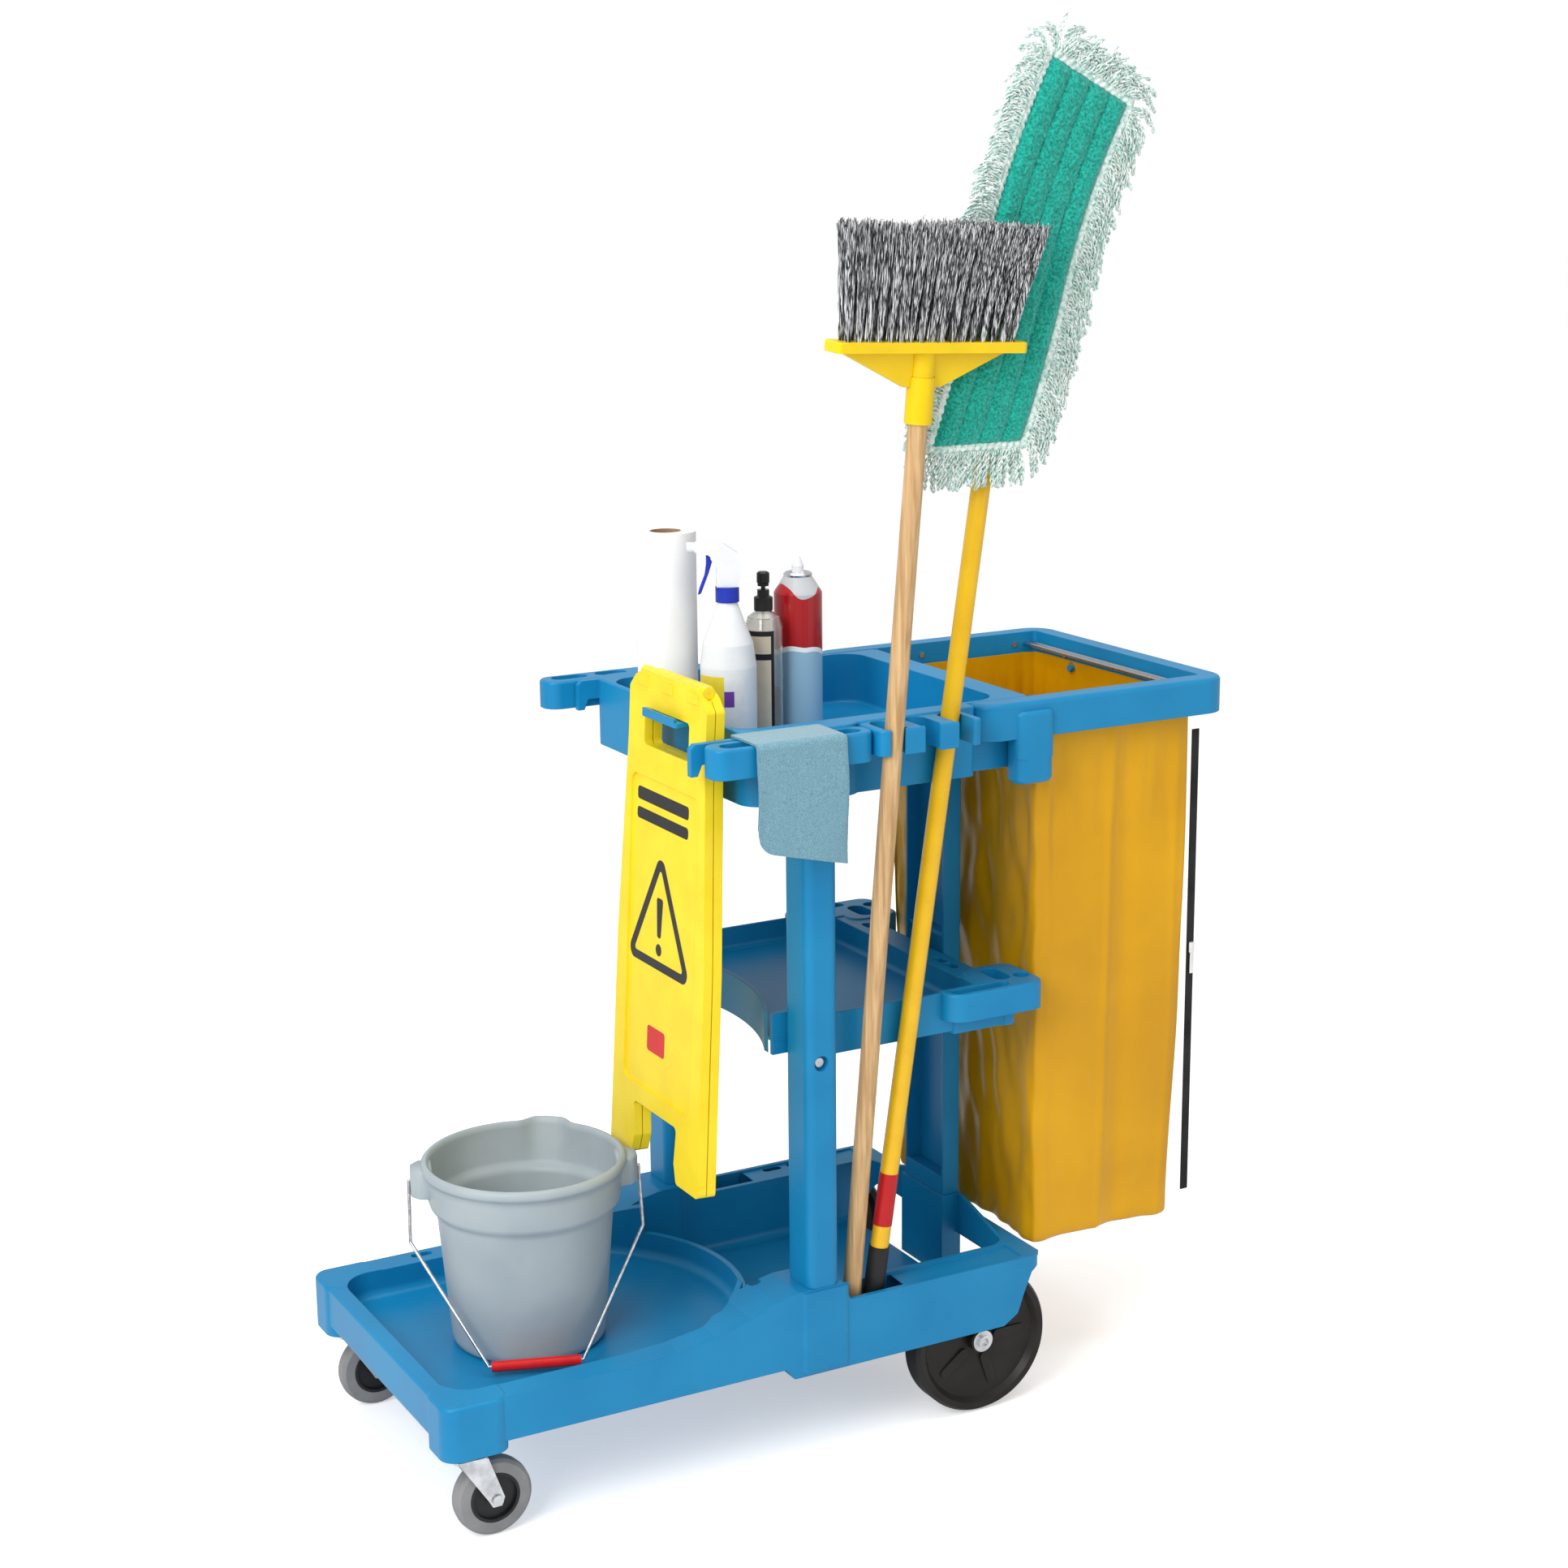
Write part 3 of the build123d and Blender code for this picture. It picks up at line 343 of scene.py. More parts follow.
def makeBag():
    low = at(sack["front"], -sack["half"], sack["foot"])
    high = at(sack["back"], sack["half"], sack["mouth"])
    pickNothing()
    bpy.ops.mesh.primitive_cube_add(size=1, location=(low + high) / 2, scale=high - low)
    bag = bpy.context.object
    bag.name = "hungBag"
    settle(bag)
    bpy.ops.object.mode_set(mode="EDIT")
    bpy.ops.mesh.select_all(action="DESELECT")
    mesh = bmesh.from_edit_mesh(bag.data)
    mesh.faces.ensure_lookup_table()
    for face in mesh.faces:
        face.select = face.normal.z > 0.9
    bmesh.update_edit_mesh(bag.data)
    bpy.ops.mesh.delete(type="ONLY_FACE")
    bpy.ops.mesh.select_all(action="SELECT")
    bpy.ops.mesh.subdivide(number_cuts=sack["cuts"])
    bpy.ops.mesh.subdivide(number_cuts=1)
    bpy.ops.object.mode_set(mode="OBJECT")
    middle = (low + high) / 2
    topZ, footZ = high.z, low.z

    def slack(co):
        # upright corners are rounded off, and the walls start a little out of flat
        off = co - middle
        nearX = max(0, abs(off.x) - (high.x - low.x) / 2 + 0.022)
        nearY = max(0, abs(off.y) - (high.y - low.y) / 2 + 0.022)
        round_ = 0.3 * min(nearX, nearY)
        hang = (topZ - co.z) / (topZ - footZ)
        swell = 0.006 * math.sin(math.pi * min(1, hang * 1.05))
        wave = 0.004 * ripple((co.x, co.y, co.z * 0.35), 0.09, 3) * min(1, hang * 6)
        reach = Vector((off.x, off.y, 0))
        step = reach.normalized() if reach.length > 0.01 else Vector()
        taper = 1 - 0.035 * hang ** 2
        moved = middle + Vector((off.x * taper, off.y * (1 - 0.02 * hang ** 2), off.z))
        return moved + step * (swell + wave - round_)
    shapeBy(bag, slack)
    rim = bag.vertex_groups.new(name="rim")
    rim.add([v.index for v in bag.data.vertices if v.co.z > topZ - 0.024], 1.0, "REPLACE")
    hangCloth(bag, rim.name)

    def fold(co):
        # pressed fold lines down and across the near face, left from when it was packed
        off = co - middle
        hang = (topZ - co.z) / (topZ - footZ)
        line = at(sack["creaseAt"] - 6 * hang, 0, 0).x
        push = Vector()
        if off.y < -0.12:
            push.y -= 0.0038 * math.exp(-((co.x - line) / 0.004) ** 2)
            push.y += 0.0042 * math.exp(-((co.x - line - 0.028) / 0.018) ** 2)
            cross = at(0, 0, sack["crossCreaseAt"]).z + 0.10 * (co.x - line)
            push.y -= 0.0012 * math.exp(-((co.z - cross) / 0.004) ** 2)
        if off.x < -0.08:
            push.x += 0.0060 * ripple((co.y * 1.4, co.y, co.z * 0.6), 0.035, 8) * min(1, hang * 4)
        return co + push
    shapeBy(bag, fold)
    applyAll(bag)
    pick(bag)
    addSubdivision(bag, 1)
    wall = bag.modifiers.new("skin", "SOLIDIFY")
    wall.thickness = sack["skin"] / 1000
    wall.offset = 0
    applyAll(bag)
    smooth(bag, 60)
    return dress(bag, "cart", "bag_vinyl", vinyl, "bag")


def hangCloth(piece, pinned, frames=24, grow=-0.012):
    # the walls are cut a little long, so they buckle as the weight comes on
    cloth = piece.modifiers.new("hang", "CLOTH")
    cloth.settings.quality = 6
    cloth.settings.mass = 0.25
    cloth.settings.tension_stiffness = 18
    cloth.settings.compression_stiffness = 12
    cloth.settings.shear_stiffness = 8
    cloth.settings.bending_stiffness = 1.2
    cloth.settings.air_damping = 4
    cloth.settings.shrink_min = grow
    cloth.settings.vertex_group_mass = pinned
    cloth.collision_settings.use_collision = False
    cloth.point_cache.frame_start = 1
    cloth.point_cache.frame_end = frames
    for step in range(1, frames + 1):
        bpy.context.scene.frame_set(step)
    start = [v.co.copy() for v in piece.data.vertices]
    pick(piece)
    bpy.ops.object.modifier_apply(modifier="hang")
    bpy.context.scene.frame_set(1)
    most = 0.010
    for vert, was in zip(piece.data.vertices, start):
        moved = vert.co - was
        if moved.length > most:
            vert.co = was + moved.normalized() * most


makeBag()
print("bag is hung")

# dust mop: pile pad, knitted border and looped fringe
mop = {
    "foot": (612, -210, 168), "lean": math.atan(0.0312), "back": -22,
    "corners": ((664, 1150), (795, 1150), (937, 1554), (823, 1612)),
    "channels": 4, "pile": 8.0, "border": 13, "loop": 47, "loopStep": 4.2,
}
teal = finish("mopTeal", {
    "dark": (0.0, 0.235, 0.180), "light": (0.020, 0.520, 0.410), "toneScale": 330, "toneDetail": 4,
    "toneRange": (0.34, 0.64), "rough": 0.92, "roughSpread": 0.04, "grainScale": 1300,
    "bump": 0.9, "depth": 0.0012,
    "sheen": 0.35, "sheenRoughness": 0.4,
})
mint = finish("mopMint", {
    "dark": (0.40, 0.66, 0.58), "light": (0.84, 0.92, 0.88), "toneScale": 190, "toneDetail": 2,
    "toneRange": (0.36, 0.56), "rough": 0.9, "grainScale": 1600, "bump": 0.7, "depth": 0.0006,
    "sheen": 0.3,
    "glow": 0.08,
})


def onMop(x, y, z):
    # a point of the upright mop head, leaned back with its handle
    lean = mop["lean"]
    footX, footY, footZ = mop["foot"]
    return at(x, footY + y * math.cos(lean) - z * math.sin(lean),
              footZ + y * math.sin(lean) + z * math.cos(lean))


def padSpot(u, v):
    (x0, z0), (x1, z1), (x2, z2), (x3, z3) = mop["corners"]
    lowX, lowZ = x0 + (x1 - x0) * u, z0 + (z1 - z0) * u
    topX, topZ = x3 + (x2 - x3) * u, z3 + (z2 - z3) * u
    bow = -9 * math.sin(math.pi * v) + 5 * math.sin(2 * math.pi * v)
    return lowX + (topX - lowX) * v + bow, lowZ + (topZ - lowZ) * v


def makePad():
    pad = gridSheet("mopPadPile", 96, 300)

    def quilt(co):
        u, v = min(1, max(0, co.x)), min(1, max(0, co.y))
        x, z = padSpot(u, v)
        seam = abs(math.sin(math.pi * mop["channels"] * u + 0.12 * math.sin(5 * v)))
        edge = min(1, 12 * min(u, 1 - u)) * min(1, 40 * min(v, 1 - v))
        puff = mop["pile"] * (0.20 + 0.80 * seam ** 0.38) * edge ** 0.5
        place = (x / 1000, z / 1000, 0)
        tuft = (2.2 * ripple(place, 0.0060, 2) + 1.2 * ripple(place, 0.0032, 5)
                + 1.0 * ripple(place, 0.03, 9))
        return onMop(x + 1.2 * ripple(place, 0.005, 7), mop["back"] - 4 - puff - tuft * edge, z)
    shapeBy(pad, quilt)
    wall = pad.modifiers.new("backing", "SOLIDIFY")
    wall.thickness = 0.003
    wall.offset = -1 if pad.data.polygons[0].normal.y < 0 else 1
    applyAll(pad)
    smooth(pad, 180)
    dress(pad, "mop_head", "mop_teal", teal, "mop_pad")
    return pad


def rimSpots(step, grow):
    # points all round the pad's outline, each with the way out from it
    corners = [(0, 0), (1, 0), (1, 1), (0, 1)]
    spots = []
    for (u0, v0), (u1, v1) in zip(corners, corners[1:] + corners[:1]):
        x0, z0 = padSpot(u0, v0)
        x1, z1 = padSpot(u1, v1)
        count = max(2, int(math.hypot(x1 - x0, z1 - z0) / step))
        for number in range(count):
            part = number / count
            u, v = u0 + (u1 - u0) * part, v0 + (v1 - v0) * part
            here = Vector(padSpot(u, v))
            ahead = Vector(padSpot(u0 + (u1 - u0) * (part + 0.01), v0 + (v1 - v0) * (part + 0.01)))
            run = (ahead - here).normalized()
            out = Vector((run.y, -run.x))
            spots.append((here + out * grow, out, run))
    # the way out turns gradually at the corners
    eased = []
    for number, (spot, out, run) in enumerate(spots):
        near = [spots[(number + k) % len(spots)][1] for k in range(-3, 4)]
        eased.append((spot, sum(near, Vector((0, 0))).normalized(), run))
    return eased


def makeBorder():
    spots = rimSpots(2.2, 0)
    border = gridSheet("mopBorder", 8, len(spots))
    width = mop["border"]

    def knit(co):
        number = int(round(co.y * len(spots))) % len(spots)
        spot, out, run = spots[number]
        across = co.x
        flat = spot + out * (width * (across - 0.15))
        rib = (1.5 * math.sin(number * 1.45 + across * 5)
                   + 1.2 * ripple((flat.x / 1000, flat.y / 1000, 0), 0.004))
        height = 6.0 * math.sin(math.pi * (0.12 + 0.8 * across)) ** 0.7 + rib
        return onMop(flat.x, mop["back"] - 1.5 - height, flat.y)
    shapeBy(border, knit)
    pick(border)
    bpy.ops.object.mode_set(mode="EDIT")
    bpy.ops.mesh.select_all(action="SELECT")
    bpy.ops.mesh.remove_doubles(threshold=0.00005)
    bpy.ops.object.mode_set(mode="OBJECT")
    wall = border.modifiers.new("backing", "SOLIDIFY")
    wall.thickness = 0.0022
    wall.offset = -1 if border.data.polygons[0].normal.y < 0 else 1
    applyAll(border)
    smooth(border, 180)
    return dress(border, "mop_head", "mop_fringe", mint)


def strand(name, runs, radius, sides=0):
    # one mesh of round strands, each along its own points, in metres
    pickNothing()
    bpy.ops.curve.primitive_nurbs_path_add(location=(0, 0, 0))
    piece = bpy.context.object
    piece.name = name
    curve = piece.data
    curve.splines.clear()
    for points in runs:
        spline = curve.splines.new("POLY")
        spline.points.add(len(points) - 1)
        for point, place in zip(spline.points, points):
            point.co = (*place, 1)
    curve.dimensions = "3D"
    curve.bevel_depth = radius
    curve.bevel_resolution = sides
    curve.use_fill_caps = True
    pick(piece)
    bpy.ops.object.convert(target="MESH")
    return bpy.context.object


def yarnLoop(number):
    # two plies twisted round each other and joined at the tip, drawn along +X
    turns = 2.2 + 0.3 * number
    runs = []
    plies = []
    for start in (0, math.pi):
        points = []
        for step in range(13):
            part = step / 12
            spin = start + 2 * math.pi * turns * part
            radius = 0.0014 + 0.0011 * math.sin(math.pi * part)
            points.append(Vector((part, radius * math.cos(spin), radius * math.sin(spin))))
        plies.append(points)
    runs.append(plies[0] + [Vector((1.03, 0, 0))] + plies[1][::-1])
    return strand("yarn", runs, 0.0013)


def makeFringe():
    templates = [yarnLoop(number) for number in range(3)]
    loops = []
    for layer, (grow, lift) in enumerate(((mop["border"] - 7, 2.0), (mop["border"] - 5, 5.0))):
        for number, (spot, out, run) in enumerate(rimSpots(mop["loopStep"], grow)):
            template = templates[(number + layer) % 3]
            piece = template.copy()
            piece.data = template.data.copy()
            bpy.context.scene.collection.objects.link(piece)
            jitter = random.uniform(-0.35, 0.35)
            reach = mop["loop"] * random.uniform(0.80, 1.08)
            sag = random.uniform(0.55, 1.0)
            outward = (out + run * jitter).normalized()
            down = Vector((0, -1))
            places = [(spot, lift)]
            way = outward
            for step in range(12):
                way = (way + down * 0.13 * sag * (1 + step / 8)).normalized()
                fall = lift * (1 - step / 14) + 2.0 * math.sin(step * 0.5 + number)
                places.append((places[-1][0] + way * reach / 12, fall))
            for vert in piece.data.vertices:
                part = min(0.999, max(0, vert.co.x / 1.03)) * 12
                step = int(part)
                share = part - step
                flat = places[step][0].lerp(places[step + 1][0], share)
                height = places[step][1] * (1 - share) + places[step + 1][1] * share
                side = places[step + 1][0] - places[step][0]
                side = Vector((-side.y, side.x)).normalized()
                flat = flat + side * vert.co.y * 1000
                vert.co = onMop(flat.x, mop["back"] - 3 - height - vert.co.z * 1000, flat.y)
            loops.append(piece)
    fringe = joined("mopFringeLoops", loops)
    for template in templates:
        bpy.data.objects.remove(template)
    smooth(fringe, 180)
    return dress(fringe, "mop_head", "mop_fringe", mint, "mop_fringe")


makePad()
makeBorder()
makeFringe()
print("mop head is made")

# broom bristles
broom = {
    "foot": (583, -206, 166), "slope": (0.0407, -0.0747, 1), "low": 1286, "reach": 142,
    "across": 17, "rows": 4, "strands": 34,
}
# the grey strands are streaked in their colour from near black to near white: the white streaks are
# painted highlight standing in for the shine along the fibres, and the darker streaks are the fibres'
# own grey varying from strand to strand
bristle = finish("bristleStreaksPaintedHighlight", {
    "dark": (0.020, 0.022, 0.026), "light": (0.80, 0.81, 0.83), "toneScale": 640, "toneDetail": 2,
    "toneRange": (0.44, 0.60), "stretch": (1, 1, 0.05), "rough": 0.34, "roughSpread": 0.08, "bump": 0.1,
})
broomFoot = at(*broom["foot"])
broomUp = Vector(broom["slope"]).normalized()
broomSide = Vector((1, 0, -broom["slope"][0])).normalized()
broomFace = broomUp.cross(broomSide)


def onBroom(x, y, z):
    return broomFoot + (broomSide * x + broomFace * y + broomUp * z) / 1000


def tuft():
    # a bundle of crimped fibres, from 0 to 1 in height
    runs = []
    for number in range(broom["strands"]):
        angle = random.uniform(0, 2 * math.pi)
        spread = math.sqrt(random.random())
        x, y = spread * math.cos(angle), spread * math.sin(angle)
        crimp = random.uniform(0, 6)
        reach = random.uniform(0.90, 1.0)
        points = []
        for step in range(7):
            part = step / 6
            bend = 0.18 * math.sin(crimp + 7 * part) * part
            wide = 0.32 + 0.68 * part
            points.append(Vector((x * wide + bend, y * wide + bend * 0.6, part * reach)))
        runs.append(points)
    return runs


def makeBristles():
    runs = []
    tufts = [tuft() for number in range(5)]
    for row in range(broom["rows"]):
        for column in range(broom["across"]):
            share = (column + 0.5) / broom["across"] + (0.25 / broom["across"]) * (row % 2 - 0.5)
            baseX, baseY = -122 + 242 * share, -21 + 24 * row / (broom["rows"] - 1)
            tipX, tipY = -131 + 284 * share, -27 + 29 * row / (broom["rows"] - 1)
            tipTop = broom["reach"] + 3 * math.sin(share * 9 + row)
            for points in random.choice(tufts):
                wide = random.uniform(0.9, 1.15)
                run = []
                for point in points:
                    part = point.z
                    x = baseX + (tipX - baseX) * part ** 1.2 + point.x * 9.0 * wide
                    y = baseY + (tipY - baseY) * part + point.y * 5.0 * wide
                    run.append(onBroom(x, y, broom["low"] + tipTop * part))
                runs.append(run)
    for number in range(9):
        # a few strays that stand away from the rest
        startX = random.uniform(-90, 120)
        lean = random.uniform(10, 34)
        run = [onBroom(startX + lean * (step / 6) ** 2, -26 - 5 * step / 6,
                       broom["low"] + 150 * step / 6)
               for step in range(7)]
        runs.append(run)
    bristles = strand("broomBristles", runs, 0.00052)
    smooth(bristles, 180)
    return dress(bristles, "broom", "bristle_grey", bristle, "broom_bristles")


makeBristles()
print("broom is bristled")
# prints on the floor sign
sign = {
    "x": 402, "y": -95, "top": 1030, "height": 645, "lean": math.radians(3.2), "face": 9.75,
    "triangleSide": 182, "triangleUp": 316, "stroke": 12, "bandUp": (462, 492), "plaqueUp": 168,
    "shift": 9,
}
inkBlack = finish("inkBlack", {
    "dark": (0.010, 0.010, 0.011), "light": (0.018, 0.018, 0.019), "rough": 0.35})
inkRed = finish("inkRed", {"dark": (0.58, 0.012, 0.014), "light": (0.66, 0.018, 0.018), "rough": 0.35})


def onSign(across, up, out=0.0):
    # a point on the front leaf's printed face, across from its middle and up from its feet
    inward = -(sign["face"] + out)
    footX = sign["x"] - sign["height"] * math.sin(sign["lean"])
    footZ = sign["top"] - sign["height"] * math.cos(sign["lean"])
    return at(footX + up * math.sin(sign["lean"]) + inward * math.cos(sign["lean"]),
              sign["y"] + sign["shift"] + across,
              footZ + up * math.cos(sign["lean"]) - inward * math.sin(sign["lean"]))


def roundedLoop(corners, radius, steps=8):
    # the outline through the given corners, each turned into an arc
    loop = []
    for number, corner in enumerate(corners):
        here = Vector(corner)
        back = (Vector(corners[number - 1]) - here).normalized()
        ahead = (Vector(corners[(number + 1) % len(corners)]) - here).normalized()
        half = back.angle(ahead) / 2
        centre = here + (back + ahead).normalized() * radius / math.sin(half)
        start = here + back * radius / math.tan(half) - centre
        end = here + ahead * radius / math.tan(half) - centre
        for step in range(steps + 1):
            loop.append(centre + start.lerp(end, step / steps).normalized() * radius)
    return loop


def outlinePiece(name, loop, hole=None):
    # a flat plate in its own plane, in millimetres, with an optional hole of as many points
    pickNothing()
    rings = []
    for ring in (loop, hole):
        if ring is None:
            continue
        fill = "NGON" if hole is None else "NOTHING"
        bpy.ops.mesh.primitive_circle_add(vertices=len(ring), radius=1, fill_type=fill)
        for vert, spot in zip(bpy.context.object.data.vertices, ring):
            vert.co = (spot[0], spot[1], 0)
        rings.append(bpy.context.object)
    piece = joined(name, rings)
    if hole:
        bpy.ops.object.mode_set(mode="EDIT")
        bpy.ops.mesh.select_all(action="SELECT")
        bpy.ops.mesh.bridge_edge_loops()
        bpy.ops.object.mode_set(mode="OBJECT")
    return piece


def printOnSign(name, ink, slotName, loop, hole=None):
    piece = outlinePiece(name, loop, hole)
    shapeBy(piece, lambda co: onSign(co.x, co.y))
    film = piece.modifiers.new("film", "SOLIDIFY")
    film.thickness = 0.0002
    film.offset = 0
    applyAll(piece)
    pick(piece)
    bpy.ops.object.mode_set(mode="EDIT")
    bpy.ops.mesh.select_all(action="SELECT")
    bpy.ops.mesh.normals_make_consistent(inside=False)
    bpy.ops.object.mode_set(mode="OBJECT")
    return dress(piece, "sign", slotName, ink)


def boxLoop(left, right, low, high, radius):
    return roundedLoop([(left, low), (right, low), (right, high), (left, high)], radius, 5)


def triangleLoop(side, radius):
    middle = sign["triangleUp"]
    drop = side * math.sqrt(3) / 6
    return roundedLoop(
        [(-side / 2, middle - drop), (side / 2, middle - drop), (0, middle + 2 * drop)], radius)


stroke = sign["stroke"]
innerSide = sign["triangleSide"] - 2 * stroke * math.sqrt(3)
printOnSign("signTriangle", inkBlack, "cap_black", triangleLoop(sign["triangleSide"], 13),
            triangleLoop(innerSide, 4))
middle = sign["triangleUp"]
printOnSign("signMarkBar", inkBlack, "cap_black",
            roundedLoop([(-5, middle - 10), (5, middle - 10), (9, middle + 42), (-9, middle + 42)],
                        4, 5))
printOnSign("signMarkDot", inkBlack, "cap_black", boxLoop(-8, 8, middle - 34, middle - 18, 7.9))
bandLow, bandHigh = sign["bandUp"]
printOnSign("signBandUpper", inkBlack, "cap_black", boxLoop(-72, 72, bandHigh - 17, bandHigh, 5))
printOnSign("signBandLower", inkBlack, "cap_black", boxLoop(-72, 72, bandLow - 12, bandLow + 3, 5))
plaque = sign["plaqueUp"]
printOnSign("signPlaque", inkRed, "band_red", boxLoop(-25, 25, plaque - 17, plaque + 17, 5))
print("sign is printed")

# bucket: soft step under a rolled rim, pouring lip and two ears
pail = {
    "x": 209, "y": -10, "turn": math.radians(-19.3), "spoutAt": math.radians(72),
    "spoutHalf": math.radians(17), "spoutReach": 13, "spoutFoot": 350, "rim": 404,
    "wall": (
        (0, 155.1), (90, 155.1), (96.5, 156.4), (99.6, 160.5), (101, 168), (108.2, 255), (114.6, 333),
        (116.2, 338.4), (119.6, 342), (123, 345.4), (124.8, 351), (126.6, 380), (127.4, 389.5),
        (129.6, 390.6), (132.4, 392.4), (133.6, 396.4), (132.9, 401), (130.4, 403.8), (126.8, 404.4),
        (124.2, 402.4), (123.4, 396), (121.6, 352), (119.6, 347.6), (115.8, 344), (112.6, 340.4),
        (111.2, 335), (104.8, 255), (97.8, 170), (96, 163), (92, 159.8), (0, 159.2),
    ),
    "ear": ((119, -27), (137, -23), (147, -11), (147, 11), (137, 23), (119, 27)),
    "earLow": 361, "earHigh": 399,
}
pailGrey = finish("pailGrey", {
    "dark": (0.345, 0.400, 0.430), "light": (0.385, 0.440, 0.465), "rough": 0.40, "roughSpread": 0.05,
    "toneScale": 14, "grainScale": 1900, "bump": 0.15, "depth": 0.00015, "edge": 1.2, "glow": 0.05,
})


def softStep(value):
    value = min(1, max(0, value))
    return value * value * (3 - 2 * value)


def makeBucket():
    shell = turned("bucketShell", pail["wall"], Vector((0, 0, 0)), steps=144, closed=False)

    def pour(co):
        # the rim runs out into a flat-bottomed lip on one side
        angle = math.atan2(co.y, co.x)
        off = abs((angle - pail["spoutAt"] + math.pi) % (2 * math.pi) - math.pi)
        lift = softStep((co.z * 1000 - pail["spoutFoot"]) / (pail["rim"] - pail["spoutFoot"]))
        out = pail["spoutReach"] * lift * softStep(1.6 * (1 - off / pail["spoutHalf"]))
        radius = math.hypot(co.x, co.y)
        if radius < 0.06:
            return co
        grown = (radius + out / 1000) / radius
        return Vector((co.x * grown, co.y * grown, co.z + 0.0012 * out / pail["spoutReach"]))
    shapeBy(shell, pour)
    pieces = [shell]
    for side in (-1, 1):
        ear = outlinePiece("ear", [(side * x, side * y) for x, y in pail["ear"]])
        pick(ear)
        bpy.ops.object.mode_set(mode="EDIT")
        bpy.ops.mesh.select_all(action="SELECT")
        bpy.ops.transform.resize(value=(0.001, 0.001, 1), center_override=(0, 0, 0))
        bpy.ops.transform.translate(value=(0, 0, pail["earLow"] / 1000))
        bpy.ops.mesh.extrude_region_move(
            TRANSFORM_OT_translate={"value": (0, 0, (pail["earHigh"] - pail["earLow"]) / 1000)})
        bpy.ops.mesh.select_all(action="SELECT")
        bpy.ops.mesh.normals_make_consistent(inside=False)
        bpy.ops.object.mode_set(mode="OBJECT")
        addBevel(ear, 0.003, 3)
        applyAll(ear)
        pieces.append(ear)
    bucket = joined("bucketShell", pieces)
    bucket.rotation_euler = (0, 0, pail["turn"])
    bucket.location = at(pail["x"], pail["y"], 0)
    settle(bucket)
    smooth(bucket, 40)
    return dress(bucket, "bucket", "bucket_grey", pailGrey, "bucket")


makeBucket()
print("bucket is turned")

# labels and paint on the stock in the tray
trayFloor = 905
labels = {
    "spray": {"x": 530, "y": 12, "radius": 37.15, "low": 18, "high": 104, "facing": -140, "half": 56},
    "mist": {"x": 598, "y": 40, "radius": 25.15, "low": 10, "high": 148, "facing": -150, "half": 64},
}


def wrapped(name, label, left, right, low, high, lift, ink, body, slotName):
    # a patch of the label, given by shares of its width and height, laid round the bottle
    patch = gridSheet(name, 24, 4)

    def lay(co):
        across = left + (right - left) * co.x
        up = low + (high - low) * co.y
        angle = math.radians(label["facing"] + label["half"] * (2 * across - 1))
        radius = label["radius"] + lift
        height = trayFloor + label["low"] + (label["high"] - label["low"]) * up
        return at(label["x"] + radius * math.cos(angle), label["y"] + radius * math.sin(angle), height)
    shapeBy(patch, lay)
    film = patch.modifiers.new("film", "SOLIDIFY")
    film.thickness = 0.0001
    film.offset = 0
    applyAll(patch)
    smooth(patch, 40)
    return dress(patch, body, slotName, ink)


def plainInk(name, tone, rough=0.35):
    return finish(name, {"dark": tuple(0.92 * value for value in tone), "light": tone, "rough": rough,
                         "toneScale": 60, "bump": 0.05})


labelWhite = plainInk("labelWhite", (0.84, 0.84, 0.83))
labelYellow = plainInk("labelYellow", (0.86, 0.66, 0.04))
labelPurple = plainInk("labelPurple", (0.16, 0.05, 0.34))
labelBeige = plainInk("labelBeige", (0.66, 0.56, 0.42))
labelBlack = plainInk("labelBlack", (0.014, 0.014, 0.015))
spray, mist = labels["spray"], labels["mist"]
wrapped("sprayLabel", spray, 0, 1, 0, 1, 0, labelWhite, "spray", "bottle_white")
wrapped("sprayLabelBand", spray, 0, 0.62, 0.52, 0.96, 0.1, labelYellow, "spray", "bottle_white")
wrapped("sprayLabelMark", spray, 0.62, 0.80, 0.50, 0.74, 0.2, labelPurple, "spray", "trigger_blue")
wrapped("mistLabel", mist, 0, 1, 0, 1, 0, labelBlack, "mist", "cap_black")
wrapped("mistLabelPanel", mist, 0.08, 0.92, 0.05, 0.72, 0.1, labelBeige, "mist", "bottle_clear")
wrapped("mistLabelTop", mist, 0.08, 0.92, 0.78, 0.95, 0.1, labelBeige, "mist", "bottle_clear")


def banded(material, low, high, stops, wave=0.0):
    # bands of colour up a piece between two heights, their edges wavering a little
    tree = material.node_tree
    coordinates = tree.nodes.new("ShaderNodeTexCoord")
    apart = tree.nodes.new("ShaderNodeSeparateXYZ")
    wire(tree, coordinates.outputs["Object"], apart.inputs["Vector"])
    swell = tree.nodes.new("ShaderNodeTexNoise")
    swell.inputs["Scale"].default_value = 26
    swell.inputs["Detail"].default_value = 0
    wire(tree, coordinates.outputs["Object"], swell.inputs["Vector"])
    shifted = tree.nodes.new("ShaderNodeMath")
    shifted.operation = "MULTIPLY_ADD"
    shifted.inputs[1].default_value = wave
    wire(tree, swell.outputs["Fac"], shifted.inputs[0])
    wire(tree, apart.outputs["Z"], shifted.inputs[2])
    span = tree.nodes.new("ShaderNodeMapRange")
    span.inputs["From Min"].default_value = low
    span.inputs["From Max"].default_value = high
    wire(tree, shifted.outputs[0], span.inputs["Value"])
    ramp = tree.nodes.new("ShaderNodeValToRGB")
    ramp.color_ramp.interpolation = "CONSTANT"
    ramp.color_ramp.elements[0].color = (*stops[0][1], 1)
    ramp.color_ramp.elements[1].position = stops[-1][0]
    ramp.color_ramp.elements[1].color = (*stops[-1][1], 1)
    for place, tone in stops[1:-1]:
        ramp.color_ramp.elements.new(place).color = (*tone, 1)
    wire(tree, span.outputs["Result"], ramp.inputs["Fac"])
    wire(tree, ramp.outputs["Color"], tree.nodes["Principled BSDF"].inputs["Base Color"])
    return material


